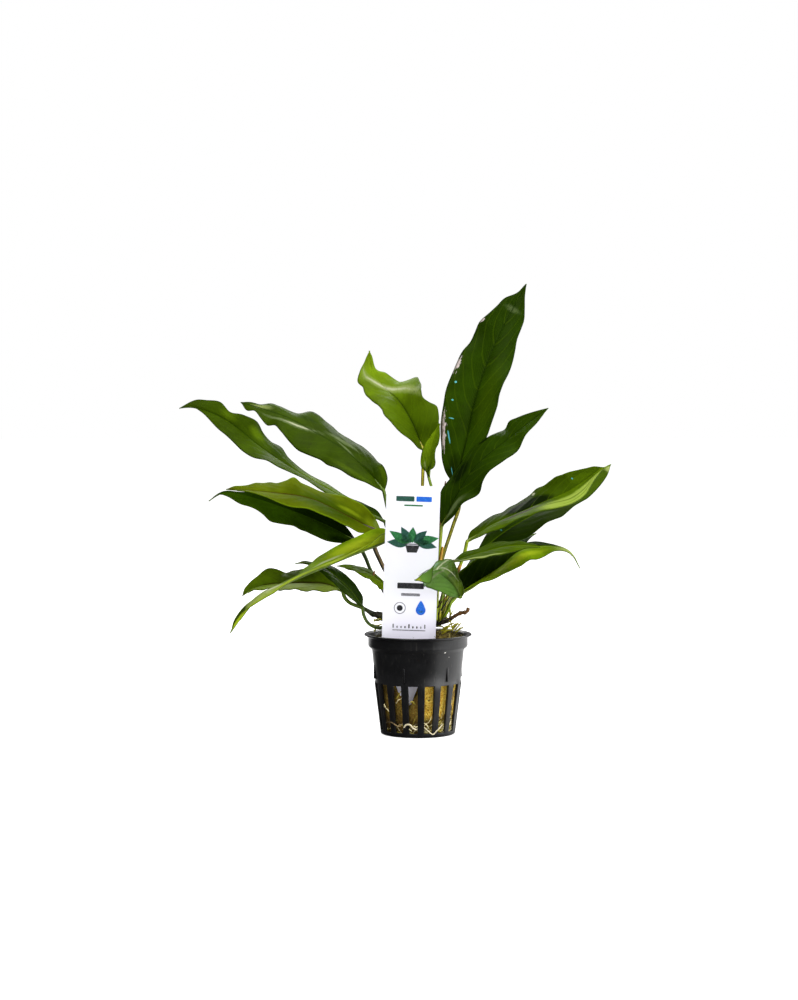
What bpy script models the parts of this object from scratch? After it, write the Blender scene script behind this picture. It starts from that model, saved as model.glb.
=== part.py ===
"""A dwarf anubias in a small net pot, as a nursery sells it for an aquarium.

Run it with: blender --background --python part.py
Metres, +Z up, the pot stands on Z = 0 with its axis on the Z axis and -Y is
the side that the plant label faces. Each separate piece is one object.
"""
import bpy
import bmesh
import math
import numpy as np

MM = 0.001
GAP = 0.3 * MM

# LEAF GEOMETRY BEGIN
# Every leaf is one lanceolate blade, bent in space. Its centre line is a smooth
# curve through "spine" (mm). At nine evenly spaced places along it, "left" and
# "right" say how far that margin stands above the centre line (mm, minus for
# below), left and right as seen from the stalk. "half_width" is the widest half
# of the flat blade, "belly" moves the widest place towards the tip, and
# "point" draws the tip out. How far a margin reaches sideways follows from these.
LEAVES = [
    dict(name="01_far_left", half_width=11.5, belly=1.1, point=0.2,
         spine=[(-17, 8, 108), (-37, 10, 119.5), (-60.5, 12, 132.5), (-80, 14, 145.5),
                (-100.5, 16, 161), (-122, 18, 168.5)],
         left=[-2.5, -1.5, -1.5, -1, -2.5, -5.5, -7, -5.5, -1.5],
         right=[2, 1, 1.5, 1.5, 4, 5, 7, 8, 4],
         stalk=[(-5, 3.5, 62), (-7, 5, 74), (-12.5, 7, 95)]),
    dict(name="02_upper_left", half_width=14, belly=0.9, point=0.4,
         spine=[(-17.5, 10, 123.5), (-25, 14, 133), (-38, 22, 144.5), (-59, 30, 156.5),
                (-72, 35, 162.5), (-93, 42, 169)],
         left=[-4.5, -8, -10.5, -11, -11.5, -11, -8, -6, -2.5],
         right=[6.5, 5, 4, 5, 6, 6.5, 3.5, 4.5, 1],
         stalk=[(-2, 4.5, 62), (-6, 8, 82), (-14, 10, 108)]),
    dict(name="03_mid_left", half_width=12, belly=0.85, point=0.4,
         spine=[(-21, -4, 104), (-37, -9, 112.5), (-54.5, -15, 121), (-74, -23, 124.5), (-95.5, -32, 126.5)],
         left=[-5, -5.5, -5.5, -6, -6, -6, -4.5, -2, -0.5],
         right=[6, 8, 7, 6, 6, 7.5, 4.5, 3.5, 1.5],
         stalk=[(-10, 0, 61.5), (-13, -1, 76), (-18.5, -3, 87), (-22.5, -4, 97)]),
    dict(name="04_under_left", half_width=11.5, belly=0.85, point=0.4,
         spine=[(-31, 14, 97), (-45, 11, 105), (-63, 6, 113), (-80.5, 0, 119.5), (-96, -5, 123.5), (-105.5, -8, 121)],
         left=[-4.5, -7, -7, -7, -7, -7, -5, -4, -1],
         right=[4, 5, 6, 6, 6, 5, 3, 1, 0.5],
         stalk=[(-13, 3.5, 62), (-18, 8, 73), (-24, 12, 82), (-27, 13.5, 89)]),
    dict(name="05_front_left", half_width=10.5, belly=0.95, point=0.4,
         spine=[(-11, 0, 101), (-33, -18, 93.5), (-53, -35, 86), (-66, -42, 80.5), (-80, -50, 73), (-92, -57, 57.5)],
         left=[2.5, 3, 2.5, 2.5, 2.5, 2, 0.5, 1, 0.5],
         right=[6, 6.5, 6.5, 3, -1, -2, -1.5, -0.8, -0.3],
         stalk=[(-7, -0.5, 61.5), (-7.5, -1, 78), (-8, 0, 92)]),
    dict(name="06_low_left", half_width=10.5, belly=0.85, point=0.4,
         spine=[(-38.5, 2, 73), (-48, 8, 76), (-61, 16, 75.5), (-77, 26, 74), (-85, 32, 71.5), (-92.5, 38, 67)],
         left=[-2.5, -3.5, -4, -2.5, -3.5, -2, -2.5, -1.5, -0.3],
         right=[4, 7, 8, 7.5, 7, 6.5, 7, 5, 2.5],
         stalk=[(-23, 0.5, 61), (-28, 1, 64), (-34.5, 1.5, 66.5), (-37.5, 2, 69.5)]),
    dict(name="07_low_inner_left", half_width=7, belly=0.8, point=0.5,
         spine=[(-28, -14, 66), (-33.5, -15, 74), (-39.5, -16, 80), (-47, -17, 86), (-55, -18, 89), (-61, -19, 89)],
         left=[-2, -3, -3.5, -3.5, -3.5, -3, -2.5, -1.5, -0.5],
         right=[2.5, 3, 4, 4.5, 4.5, 3, 1, 0.2, 0.1],
         stalk=[(-14, -4.5, 56.5), (-20, -9, 55), (-25, -12.5, 57.5), (-27.5, -14, 62)]),
    dict(name="08_back_left", half_width=5.5, belly=0.8, point=0.6,
         spine=[(-15, -2.5, 75), (-23.5, -4, 81.5), (-32.5, -6, 85), (-41.5, -8, 86.5)],
         left=[-2, -2, -2, -1.5, -1.5, -1, -0.5, -0.5, -0.2],
         right=[1.5, 1.5, 1.5, 1.5, 1.5, 1, 0.8, 0.5, 0.2],
         stalk=[(-13, -3, 61), (-14.5, -3, 68)]),
    dict(name="09_top_left", half_width=15.5, belly=0.7, point=0.3,
         spine=[(3, 12, 144.5), (-2.5, 18, 158), (-9.5, 25, 169.5), (-18, 31, 177.5), (-23.8, 34.5, 186),
                (-25.2, 36.5, 196)],
         left=[-0.5, -0.5, -0.5, -1, -2, -3.5, -5, -4.5, -2.5],
         right=[9, 13.5, 14.5, 15, 12, 6, 3, 1, 0.5],
         stalk=[(1, 4.5, 62), (1.5, 8, 85), (2, 11, 110), (2.5, 12, 130)]),
    dict(name="10_young_centre", half_width=4.5, belly=0.8, point=0.4,
         spine=[(5.5, 6, 131), (5, 5, 137), (7, 3, 145), (11, 0, 158.5)],
         left=[-2, -3.5, -3.5, -3, -2, -1.5, -1.5, -1, -0.5],
         right=[1, 2, 3, 3.5, 3.5, 3.5, 3, 2, 1],
         stalk=[(4, 2, 62), (5.5, 4, 85), (7, 6, 108), (7.5, 6.5, 122)]),
    dict(name="11_tall_right", half_width=16, belly=0.88, point=0.1,
         spine=[(19.5, 20, 126), (25, 22, 148), (31, 25, 174), (41, 29, 201), (56.5, 34, 230)],
         left=[8.5, 13.5, 15, 15, 14.5, 13.5, 11.5, 9.5, 5.5],
         right=[-4, -6, -7.5, -8.5, -9, -11, -10.5, -8.5, -5],
         stalk=[(7, 5, 62), (10, 7, 76), (13, 9, 90), (18, 13, 105), (21.5, 17, 116)]),
    dict(name="12_front_of_tall", half_width=12.5, belly=0.95, point=0.3,
         spine=[(12, 5, 105.5), (19, 4, 120), (29, 2, 136), (44.5, 0, 149.5), (66, -4, 166.5)],
         left=[4.5, 7.5, 7.5, 7.5, 8, 7.5, 5, 4.5, 2.5],
         right=[-3, -5, -9, -8, -6.5, -7, -7.5, -4.5, -2],
         stalk=[(7.5, 1.5, 62), (9.8, 2, 75), (11, 4, 92)]),
    dict(name="13_upper_right", half_width=12, belly=0.95, point=0.4,
         spine=[(25, -2, 98.5), (38, 0, 107), (52, 2, 113), (65, 3, 118.5), (77, 4, 123.5), (87.5, 5, 130.5),
                (95.5, 6, 136)],
         left=[2.5, 2.5, 3, 3.5, 5, 7, 8, 6.5, 3],
         right=[-1.5, -2, -2, -2, -2.5, -4, -6, -5, -2],
         stalk=[(10.5, 0, 61.5), (14.5, 0, 69), (20, -1, 82), (23.5, -1.5, 92)]),
    dict(name="14_back_right", half_width=13, belly=1.0, point=0.2,
         spine=[(30, 12, 90.5), (45, 19, 102), (63.5, 26, 112.5), (82, 31, 123.5), (101.5, 36, 136.5)],
         left=[4, 5, 6, 6, 6, 5, 4, 2, 1],
         right=[-4, -6, -7, -7.5, -6.5, -7.5, -6.5, -5.5, -3],
         stalk=[(10.8, 3, 62), (15.5, 6, 69), (24, 9.5, 82)]),
    dict(name="15_front_right", half_width=8, belly=0.85, point=0.4,
         spine=[(17.5, -10, 89), (31, -15, 93.5), (43.5, -20, 97), (53.5, -25, 98), (61, -29, 97.5)],
         left=[2, 2.5, 3, 3.5, 4, 3.5, 3.5, 2, 1],
         right=[-1.5, -2, -2.5, -3, -3.5, -3.5, -3, -2, -1],
         stalk=[(9.5, -3, 61.5), (12, -6, 70), (14.5, -8.5, 80)]),
    dict(name="16_low_right", half_width=11, belly=0.75, point=0.5,
         spine=[(20, -4, 71), (31.5, -6, 79), (41.5, -6, 85.5), (52, -6, 94), (64.5, -7, 96.5),
                (75.5, -9, 94.5), (81.5, -10, 87.5)],
         left=[6.5, 9, 9, 6, 4, 2.5, 1.5, 0.5, 0.2],
         right=[-0.5, -1, -1.5, -3, -4.5, -5, -4.5, -1.5, -0.3],
         stalk=[(12.2, -1.8, 61), (15.5, -3, 65.5)]),
    dict(name="17_over_label", half_width=9.5, belly=0.85, point=0.4,
         spine=[(21.5, -14, 71), (17, -22, 79.5), (11, -33, 86.5), (4.5, -44, 86.5), (-2, -52, 83)],
         left=[3, 4, 5, 5.5, 6, 5, 3, 1.5, 0.5],
         right=[-4, -5, -6, -6, -6, -5, -4, -2, -1],
         stalk=[(9.5, -4.5, 58), (14, -8, 61), (17.5, -9.5, 64.5), (20.5, -11, 67.5)]),
    dict(name="18_hidden_right", half_width=6, belly=0.85, point=0.5,
         spine=[(31, 22, 87.5), (47, 34, 93.5), (63, 46, 99.5)],
         left=[2, 3, 3, 3, 3, 3, 2, 1, 0.5],
         right=[-2, -3, -3, -3, -3, -3, -2, -1, -0.5],
         stalk=[(12.2, 5.4, 59.5), (16, 10.5, 67), (25, 17.5, 80)]),
]


def along(values, t):
    """A smooth value at t (0 to 1) through evenly spaced values or points."""
    v = np.asarray(values, float)
    v = np.concatenate([[2 * v[0] - v[1]], v, [2 * v[-1] - v[-2]]])
    x = min(max(t, 0.0), 1.0) * (len(v) - 3)
    i = min(int(x), len(v) - 4)
    u = x - i
    a, b, c, d = v[i:i + 4]
    return 0.5 * (2 * b + (c - a) * u + (2 * a - 5 * b + 4 * c - d) * u * u
                  + (3 * b - a - 3 * c + d) * u ** 3)


def even_steps(spine, count=60):
    """The spine resampled so that equal steps are equal lengths."""
    fine = np.array([along(spine, k / count) for k in range(count + 1)])
    run = np.concatenate([[0], np.cumsum(np.linalg.norm(np.diff(fine, axis=0), axis=1))])
    goal = np.linspace(0, run[-1], count + 1)
    return np.stack([np.interp(goal, run, fine[:, k]) for k in range(3)], 1), run[-1]


def spine_length(leaf):
    return even_steps(leaf["spine"])[1]


def leaf_frame(leaf, s):
    """Centre point, direction, level side direction and lift direction at s."""
    line, _ = even_steps(leaf["spine"])
    n = len(line) - 1
    x = min(max(s, 0.0), 1.0) * n
    i = min(int(x), n - 1)
    centre = line[i] + (line[i + 1] - line[i]) * (x - i)
    ahead = line[min(i + 3, n)] - line[max(i - 2, 0)]
    ahead /= np.linalg.norm(ahead)
    level = np.cross([0, 0, 1.0], ahead)
    level /= np.linalg.norm(level)
    lift = np.cross(ahead, level)
    return centre, ahead, level, lift


def half_width(leaf, s):
    """Lanceolate outline: rounded wedge at the stalk, long drawn-out tip."""
    body = math.sin(math.pi * min(max(s, 0.0), 1.0) ** leaf["belly"])
    return leaf["half_width"] * max(body, 0.0) ** (0.75 + leaf["point"] * s)


def blade_point(leaf, s, v, arch=0.12):
    """A point of the blade's middle surface: v is -1 at the right margin, 1 at the left."""
    centre, ahead, level, lift = leaf_frame(leaf, s)
    side = 1 if v >= 0 else -1
    rise = along([0] + leaf["left" if side > 0 else "right"] + [0], s)
    width = max(half_width(leaf, s), 0.35 + 0.5 * (1 - s))
    rise = max(-0.96 * width, min(0.96 * width, rise))
    out = side * math.sqrt(width ** 2 - rise ** 2)
    across = level * out + lift * rise
    upper = np.cross(ahead, across) * side
    f = abs(v)
    return centre + across * f + upper * (4 * arch * f * (1 - f) * 0.5)
# LEAF GEOMETRY END


# The rest of the plant and its pot, in metres
LEAF_THICK = 0.7 * MM
STALK_RADIUS = 0.9 * MM

POT_HEIGHT = 51.3 * MM
POT_BASE_RADIUS = 19.0 * MM
POT_WALL_RADIUS = 23.6 * MM
POT_COLLAR_RADIUS = 25.5 * MM
POT_LIP_RADIUS = 27.5 * MM
POT_STEP_Z = 43.4 * MM
POT_COLLAR_Z = 45.0 * MM
POT_WALL = 1.1 * MM
POT_FLOOR = 1.2 * MM
SLOT_PAIRS = 8
SLOT_WIDTH = 4.7 * MM
SLOT_LOW_Z = 2.2 * MM
SLOT_HIGH_Z = 26.5 * MM
SLOT_TURN = math.radians(15.2)
RIDGES = 6
RIDGE_SIZE = (1.0 * MM, 1.2 * MM, 7.0 * MM)
RIDGE_Z = 32.0 * MM
RIDGE_TURN = math.radians(-19)

WOOL_LOW_Z = 1.6 * MM
WOOL_EDGE_Z = 48.5 * MM
WOOL_TOP_Z = 51.5 * MM
ROOT_ROOM = 1.6 * MM

LABEL_WIDTH = 27.2 * MM
LABEL_TOP_Z = 127.4 * MM
LABEL_TAPER_Z = 48.5 * MM
LABEL_TIP_Z = 15.5 * MM
LABEL_THICK = 0.5 * MM
LABEL_CORNER = 3.0 * MM
LABEL_FOOT = (-4.8 * MM, -13.8 * MM, 51.0 * MM)
LABEL_LEAN_SIDE = math.radians(1.9)
LABEL_LEAN_BACK = math.radians(1.5)

# Centre line of the creeping stem with the radius at each place (mm)
RHIZOME = [(-21.5, 0.3, 60.2, 1.9), (-16, 0.5, 58.6, 3.2), (-8, 1, 57.2, 3.9), (0, 1, 57, 4.1),
           (7, 1, 57.4, 4.0), (12.5, 1, 58.5, 3.0)]
STICK = [(8, -3.5, 56, 1.0), (9.2, -5.2, 55.8, 1.0), (16, -8, 59.3, 0.95), (21, -10, 62.4, 0.9),
         (24.6, -12, 63.4, 1.0), (25.4, -12, 65.6, 0.7)]
DRY_SPIKE = [(9.3, 5.6, 58.2, 0.6), (10, 9.5, 67, 0.6), (10.5, 11, 84, 0.55), (11.5, 13, 108, 0.5),
             (14.3, 14, 128.5, 0.35)]
# Thick roots between the wool and the slotted wall: angle from the front
# (degrees, positive to the right), height (mm), and the next place, and so on
ROOTS = {
    "root_front_arch": [(-22, 3.6), (-15, 8.2), (-8, 7.0), (-2, 3.4)],
    "root_front_cross": [(5, 3.2), (20, 9.6), (36, 6.0), (50, 3.2)],
    "root_right_rise": [(56, 3.2), (62, 10), (60, 18), (66, 24)],
    "root_left_brown": [(-66, 5.2), (-52, 8.4), (-38, 8.6), (-26, 6.4)],
}
ROOT_RADIUS = 0.55 * MM


def start_file():
    for ob in list(bpy.data.objects):
        bpy.data.objects.remove(ob, do_unlink=True)
    part = bpy.data.collections.new("potted_minima_anubias")
    cutters = bpy.data.collections.new("cutters")
    bpy.context.scene.collection.children.link(part)
    bpy.context.scene.collection.children.link(cutters)
    return part, cutters


def material(name, colour, roughness, metallic=0.0):
    mat = bpy.data.materials.get(name)
    if mat is None:
        mat = bpy.data.materials.new(name)
        mat.use_nodes = True
        shader = mat.node_tree.nodes["Principled BSDF"]
        shader.inputs["Base Color"].default_value = (*colour, 1)
        shader.inputs["Roughness"].default_value = roughness
        shader.inputs["Metallic"].default_value = metallic
    return mat


def put(name, bm, mat, collection):
    bmesh.ops.recalc_face_normals(bm, faces=bm.faces)
    mesh = bpy.data.meshes.new(name)
    bm.to_mesh(mesh)
    bm.free()
    mesh.materials.append(mat)
    ob = bpy.data.objects.new(name, mesh)
    collection.objects.link(ob)
    return ob


def cutter(ob):
    ob.hide_render = True
    ob.display_type = 'WIRE'
    return ob


def boolean(ob, other, how):
    mod = ob.modifiers.new(how.lower(), 'BOOLEAN')
    mod.operation = how
    mod.solver = 'EXACT'
    mod.object = other


def blade(leaf, collection, steps=12):
    """One leaf blade: a flat grid moved onto its curved surface, then thickened."""
    bm = bmesh.new()
    bmesh.ops.create_grid(bm, x_segments=steps, y_segments=4, size=1)
    for vert in bm.verts:
        vert.co = blade_point(leaf, (vert.co.x + 1) / 2, vert.co.y) * MM
    ob = put("leaf_" + leaf["name"], bm, material("leaf", (0.06, 0.13, 0.01), 0.4), collection)
    mod = ob.modifiers.new("thickness", 'SOLIDIFY')
    mod.thickness = LEAF_THICK
    mod.offset = 0
    mod.use_even_offset = False
    return ob


def tube(name, points, radii, mat, collection, rings=7):
    """A round bar along a smooth line, made from a bevelled curve and closed at its ends."""
    curve = bpy.data.curves.new(name, 'CURVE')
    curve.dimensions = '3D'
    curve.bevel_depth = 1.0
    curve.bevel_resolution = 2
    curve.use_fill_caps = True
    line = curve.splines.new('POLY')
    line.points.add(rings - 1)
    for k in range(rings):
        t = k / (rings - 1)
        line.points[k].co = (*along(points, t), 1)
        line.points[k].radius = along(radii, t)
    source = bpy.data.objects.new(name + "_curve", curve)
    mesh = bpy.data.meshes.new_from_object(source)
    bpy.data.objects.remove(source)
    bm = bmesh.new()
    bm.from_mesh(mesh)
    bmesh.ops.remove_doubles(bm, verts=bm.verts, dist=1e-6)
    return put(name, bm, mat, collection)


def seat_on_rhizome(points, radius):
    """Slide a stem's first point to just clear of the creeping stem's surface."""
    rows = [along(RHIZOME, k / 60) * MM for k in range(61)]
    near = min(rows, key=lambda row: np.linalg.norm(points[0] - row[:3]))
    outward = points[0] - near[:3]
    outward /= np.linalg.norm(outward)
    heading = points[1] - points[0]
    heading /= np.linalg.norm(heading)
    tilt = math.sqrt(max(0.0, 1 - float(outward @ heading) ** 2))
    surface = 0.0 if near is rows[0] else near[3]
    return [near[:3] + outward * (surface + GAP + radius * tilt)] + points[1:]


def stalk(leaf, collection):
    """The stalk stops a hair short of the blade that it carries."""
    points = [np.array(p, float) * MM for p in leaf["stalk"] + [leaf["spine"][0]]]
    points = seat_on_rhizome(points, STALK_RADIUS * 1.1)
    run = points[-1] - points[-2]
    points[-1] = points[-1] - run / np.linalg.norm(run) * (GAP + 0.1 * MM)
    mat = material("stalk", (0.16, 0.2, 0.02), 0.45)
    return tube("stalk_" + leaf["name"], points, [STALK_RADIUS * 1.1, STALK_RADIUS, STALK_RADIUS * 0.85],
                mat, collection)


def lathe(name, profile, sides, mat, collection):
    """A solid of revolution from a closed (radius, height) outline."""
    bm = bmesh.new()
    rings = []
    for radius, z in profile:
        if radius == 0:
            rings.append([bm.verts.new((0, 0, z))])
        else:
            rings.append([bm.verts.new((radius * math.sin(math.tau * k / sides),
                                        -radius * math.cos(math.tau * k / sides), z))
                          for k in range(sides)])
    for low, high in zip(rings, rings[1:] + (rings[:1] if profile[0][0] and profile[-1][0] else [])):
        for k in range(sides):
            n = (k + 1) % sides
            corner = [low[k], low[n]] if len(low) > 1 else [low[0]]
            corner += [high[n], high[k]] if len(high) > 1 else [high[0]]
            bm.faces.new(corner)
    return put(name, bm, mat, collection)


def box_cutter(name, size, centre, turn, collection):
    bm = bmesh.new()
    bmesh.ops.create_cube(bm, size=1)
    for vert in bm.verts:
        vert.co = (vert.co.x * size[0], vert.co.y * size[1], vert.co.z * size[2])
    ob = put(name, bm, material("cutter", (1, 0, 0), 0.5), collection)
    ob.location = centre
    ob.rotation_euler = (0, 0, turn)
    return cutter(ob)


def wall_radius(z):
    """Inner radius of the tapered wall at a height below the collar."""
    share = z / POT_STEP_Z
    return POT_BASE_RADIUS + (POT_WALL_RADIUS - POT_BASE_RADIUS) * share - POT_WALL


def net_pot(part, cutters):
    inner = POT_COLLAR_RADIUS - POT_WALL
    profile = [(0, 0), (POT_BASE_RADIUS - 0.6 * MM, 0), (POT_BASE_RADIUS, 0.6 * MM),
               (POT_WALL_RADIUS, POT_STEP_Z), (POT_COLLAR_RADIUS, POT_COLLAR_Z),
               (POT_COLLAR_RADIUS, POT_HEIGHT - 1.9 * MM), (POT_LIP_RADIUS, POT_HEIGHT - 0.9 * MM),
               (POT_LIP_RADIUS, POT_HEIGHT - 0.1 * MM), (POT_LIP_RADIUS - 0.7 * MM, POT_HEIGHT),
               (inner, POT_HEIGHT - 1.4 * MM), (inner, POT_COLLAR_Z + 0.3 * MM),
               (POT_WALL_RADIUS - POT_WALL, POT_STEP_Z - 0.3 * MM), (wall_radius(0), POT_FLOOR),
               (0, POT_FLOOR)]
    pot = lathe("net_pot", profile, 40, material("black_plastic", (0.012, 0.012, 0.014), 0.45), part)
    for k in range(RIDGES):
        turn = RIDGE_TURN + math.tau * k / RIDGES
        radius = wall_radius(RIDGE_Z) + POT_WALL
        centre = (radius * math.sin(turn), -radius * math.cos(turn), RIDGE_Z)
        ridge = box_cutter("ridge_%d" % k, RIDGE_SIZE, centre, turn, cutters)
        boolean(pot, ridge, 'UNION')
    for k in range(SLOT_PAIRS):
        turn = SLOT_TURN + math.pi * k / SLOT_PAIRS
        size = (SLOT_WIDTH, 3 * POT_LIP_RADIUS, SLOT_HIGH_Z - SLOT_LOW_Z)
        centre = (0, 0, (SLOT_HIGH_Z + SLOT_LOW_Z) / 2)
        slot = box_cutter("slot_%d" % k, size, centre, turn, cutters)
        boolean(pot, slot, 'DIFFERENCE')
    return pot


def rock_wool(part, cutters):
    room = ROOT_ROOM
    profile = [(0, WOOL_LOW_Z), (wall_radius(WOOL_LOW_Z) - room, WOOL_LOW_Z),
               (wall_radius(SLOT_HIGH_Z) - room, SLOT_HIGH_Z),
               (wall_radius(SLOT_HIGH_Z + 3 * MM) - GAP, SLOT_HIGH_Z + 3 * MM),
               (wall_radius(42.8 * MM) - GAP, 42.8 * MM),
               (POT_COLLAR_RADIUS - POT_WALL - GAP - 0.3 * MM, POT_COLLAR_Z + 1.3 * MM),
               (POT_COLLAR_RADIUS - POT_WALL - GAP - 0.3 * MM, WOOL_EDGE_Z), (15 * MM, WOOL_TOP_Z), (0, WOOL_TOP_Z)]
    wool = lathe("rock_wool", profile, 32, material("wool", (0.16, 0.11, 0.03), 0.95), part)
    depth = 12 * MM
    size = (LABEL_WIDTH + 1.2 * MM, depth, 60 * MM)
    centre = (LABEL_FOOT[0] - 0.4 * MM, LABEL_FOOT[1] + 0.6 * MM - depth / 2, 44 * MM)
    boolean(wool, box_cutter("label_pocket", size, centre, 0, cutters), 'DIFFERENCE')
    return wool


def plant_label(part):
    """A flat tag with round shoulders and a long point, pushed in at the front."""
    half = LABEL_WIDTH / 2
    top = LABEL_TOP_Z - LABEL_FOOT[2]
    taper = LABEL_TAPER_Z - LABEL_FOOT[2]
    tip = LABEL_TIP_Z - LABEL_FOOT[2]
    outline = [(-half, taper), (-2.2 * MM, tip + 1 * MM), (0, tip), (2.2 * MM, tip + 1 * MM), (half, taper)]
    for k in range(5):
        turn = math.pi / 2 * k / 4
        outline.append((half - LABEL_CORNER + LABEL_CORNER * math.cos(turn),
                        top - LABEL_CORNER + LABEL_CORNER * math.sin(turn)))
    for k in range(5):
        turn = math.pi / 2 + math.pi / 2 * k / 4
        outline.append((-half + LABEL_CORNER + LABEL_CORNER * math.cos(turn),
                        top - LABEL_CORNER + LABEL_CORNER * math.sin(turn)))
    bm = bmesh.new()
    sheet = bm.faces.new([bm.verts.new((x, -LABEL_THICK / 2, z)) for x, z in outline])
    grown = bmesh.ops.extrude_face_region(bm, geom=[sheet])
    for item in grown["geom"]:
        if isinstance(item, bmesh.types.BMVert):
            item.co.y = LABEL_THICK / 2
    ob = put("plant_label", bm, material("label_card", (0.85, 0.83, 0.92), 0.5), part)
    ob.location = LABEL_FOOT
    ob.rotation_euler = (-LABEL_LEAN_BACK, LABEL_LEAN_SIDE, 0)
    return ob


def stem(name, rows, mat, collection, rings=7, seated=True):
    points = [np.array(row[:3], float) * MM for row in rows]
    if seated:
        points = seat_on_rhizome(points, rows[0][3] * MM)
    return tube(name, points, [row[3] * MM for row in rows], mat, collection, rings)


def thick_root(name, places, collection):
    """A root that lies in the ring between the wool and the pot's wall."""
    points = []
    for degrees, height in places:
        turn = math.radians(degrees)
        radius = wall_radius(height * MM) - ROOT_ROOM / 2
        points.append(np.array([radius * math.sin(turn), -radius * math.cos(turn), height * MM]))
    brown = "brown" in name
    mat = material("root_brown", (0.1, 0.05, 0.02), 0.7) if brown else material("root", (0.6, 0.52, 0.35), 0.6)
    return tube(name, points, [ROOT_RADIUS] * 3, mat, collection, 9)


def build():
    part, cutters = start_file()
    net_pot(part, cutters)
    rock_wool(part, cutters)
    plant_label(part)
    stem("rhizome", RHIZOME, material("rhizome", (0.05, 0.045, 0.015), 0.7), part, 9, seated=False)
    stem("old_stem", STICK, material("dead_stem", (0.05, 0.02, 0.01), 0.8), part, 9)
    stem("dry_sheath", DRY_SPIKE, material("dead_stem", (0.05, 0.02, 0.01), 0.8), part)
    for name, places in ROOTS.items():
        thick_root(name, places, part)
    for leaf in LEAVES:
        blade(leaf, part, 10 if leaf["half_width"] < 10 else 12)
        stalk(leaf, part)


build()
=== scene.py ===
# %% [markdown]
# # A dwarf anubias in its net pot
# The object is a small aquarium plant as a nursery sells it: long leathery leaves on thin stalks, a creeping
# stem on a plug of rock wool, a black slotted pot and a tall plant tag. The solids come packed from the
# construction script. This script dresses them: every leaf is made again with its veins and wavy margins,
# the pot gets its true round wall, and the wool, roots and tag get their finish.

import bpy
import bmesh
import math
import random
import numpy as np
from mathutils import Euler, Matrix, Vector, noise


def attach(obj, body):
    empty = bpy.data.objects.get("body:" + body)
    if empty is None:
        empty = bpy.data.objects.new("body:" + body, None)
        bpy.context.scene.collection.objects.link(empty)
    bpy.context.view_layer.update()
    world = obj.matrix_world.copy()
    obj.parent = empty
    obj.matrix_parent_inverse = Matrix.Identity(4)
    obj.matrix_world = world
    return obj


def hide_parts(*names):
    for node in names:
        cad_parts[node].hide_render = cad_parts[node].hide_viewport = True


MM = 0.001
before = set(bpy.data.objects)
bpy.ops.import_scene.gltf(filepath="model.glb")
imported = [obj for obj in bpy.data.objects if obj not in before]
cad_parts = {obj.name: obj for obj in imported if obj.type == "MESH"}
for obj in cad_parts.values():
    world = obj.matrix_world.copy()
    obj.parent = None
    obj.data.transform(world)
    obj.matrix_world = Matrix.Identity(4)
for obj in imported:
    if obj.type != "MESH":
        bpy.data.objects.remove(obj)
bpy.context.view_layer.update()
print("solids:", len(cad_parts))

# %% [markdown]
# A product picture is taken from almost level with the plant through a long lens, so that the pot's mouth is
# only a thin ellipse. The camera is placed by two named points and a lens, and nothing else moves it.

# %% Camera
CAMERA_PLACE = (-0.0097, -1.2, 0.1805)
CAMERA_AIM = (-0.0097, 0, 0.1195)
CAMERA_LENS = 84.8

camera = bpy.data.objects.new("camera", bpy.data.cameras.new("camera"))
camera.data.lens = CAMERA_LENS
camera.data.clip_end = 50
camera.location = CAMERA_PLACE
look = Vector(CAMERA_AIM) - Vector(CAMERA_PLACE)
camera.rotation_euler = look.to_track_quat('-Z', 'Y').to_euler()
bpy.context.scene.collection.objects.link(camera)
bpy.context.scene.camera = camera
print("camera distance (m):", round(look.length, 3))

# %% [markdown]
# Materials are wired by code. A few small helpers keep that readable: they add a node and plug in its inputs,
# do a sum, mix two colours, map one range softly to another, or give a cloudy noise.

# %% Helpers for shader trees
def add_node(tree, kind, plugs=(), **settings):
    made = tree.nodes.new("ShaderNode" + kind)
    for name, value in settings.items():
        setattr(made, name, value)
    for socket, value in dict(plugs).items():
        if isinstance(value, bpy.types.NodeSocket):
            tree.links.new(value, made.inputs[socket])
        else:
            made.inputs[socket].default_value = value
    return made


def sums(tree, how, first, second=0.0, third=0.0):
    return add_node(tree, "Math", {0: first, 1: second, 2: third}, operation=how).outputs[0]


def blend_colours(tree, share, first, second, how='MIX'):
    mixer = add_node(tree, "Mix", {0: share, 6: first, 7: second}, data_type='RGBA', blend_type=how)
    return mixer.outputs[2]


def remap(tree, value, low, high, to_low=0.0, to_high=1.0):
    return add_node(tree, "MapRange", {0: value, 1: low, 2: high, 3: to_low, 4: to_high},
                    interpolation_type='SMOOTHSTEP').outputs[0]


def cloudy(tree, place, scale, detail=2.0, roughness=0.5):
    plugs = {"Vector": place, "Scale": scale, "Detail": detail, "Roughness": roughness}
    return add_node(tree, "TexNoise", plugs).outputs[0]


def rgba(colour):
    return (*colour, 1.0)


print("first helpers ready, white is", rgba((1, 1, 1)))

# %% [markdown]
# A shared effect, such as leaf veins, is a node group with named sockets, so that each material sets its own
# values. A finish is a material: one helper starts it, and one plugs its results into its shader.

# %% Helpers for shared effects and finishes
def shared_effect(name, takes, gives):
    """An empty node group: takes and gives are (name, kind, value) and (name, kind)."""
    group = bpy.data.node_groups.new(name, "ShaderNodeTree")
    kinds = {"number": "NodeSocketFloat", "place": "NodeSocketVector", "colour": "NodeSocketColor"}
    for label, kind, value in takes:
        socket = group.interface.new_socket(label, in_out='INPUT', socket_type=kinds[kind])
        socket.default_value = value
    for label, kind in gives:
        group.interface.new_socket(label, in_out='OUTPUT', socket_type=kinds[kind])
    entry = group.nodes.new("NodeGroupInput")
    leave = group.nodes.new("NodeGroupOutput")
    return group, entry.outputs, leave.inputs


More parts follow.
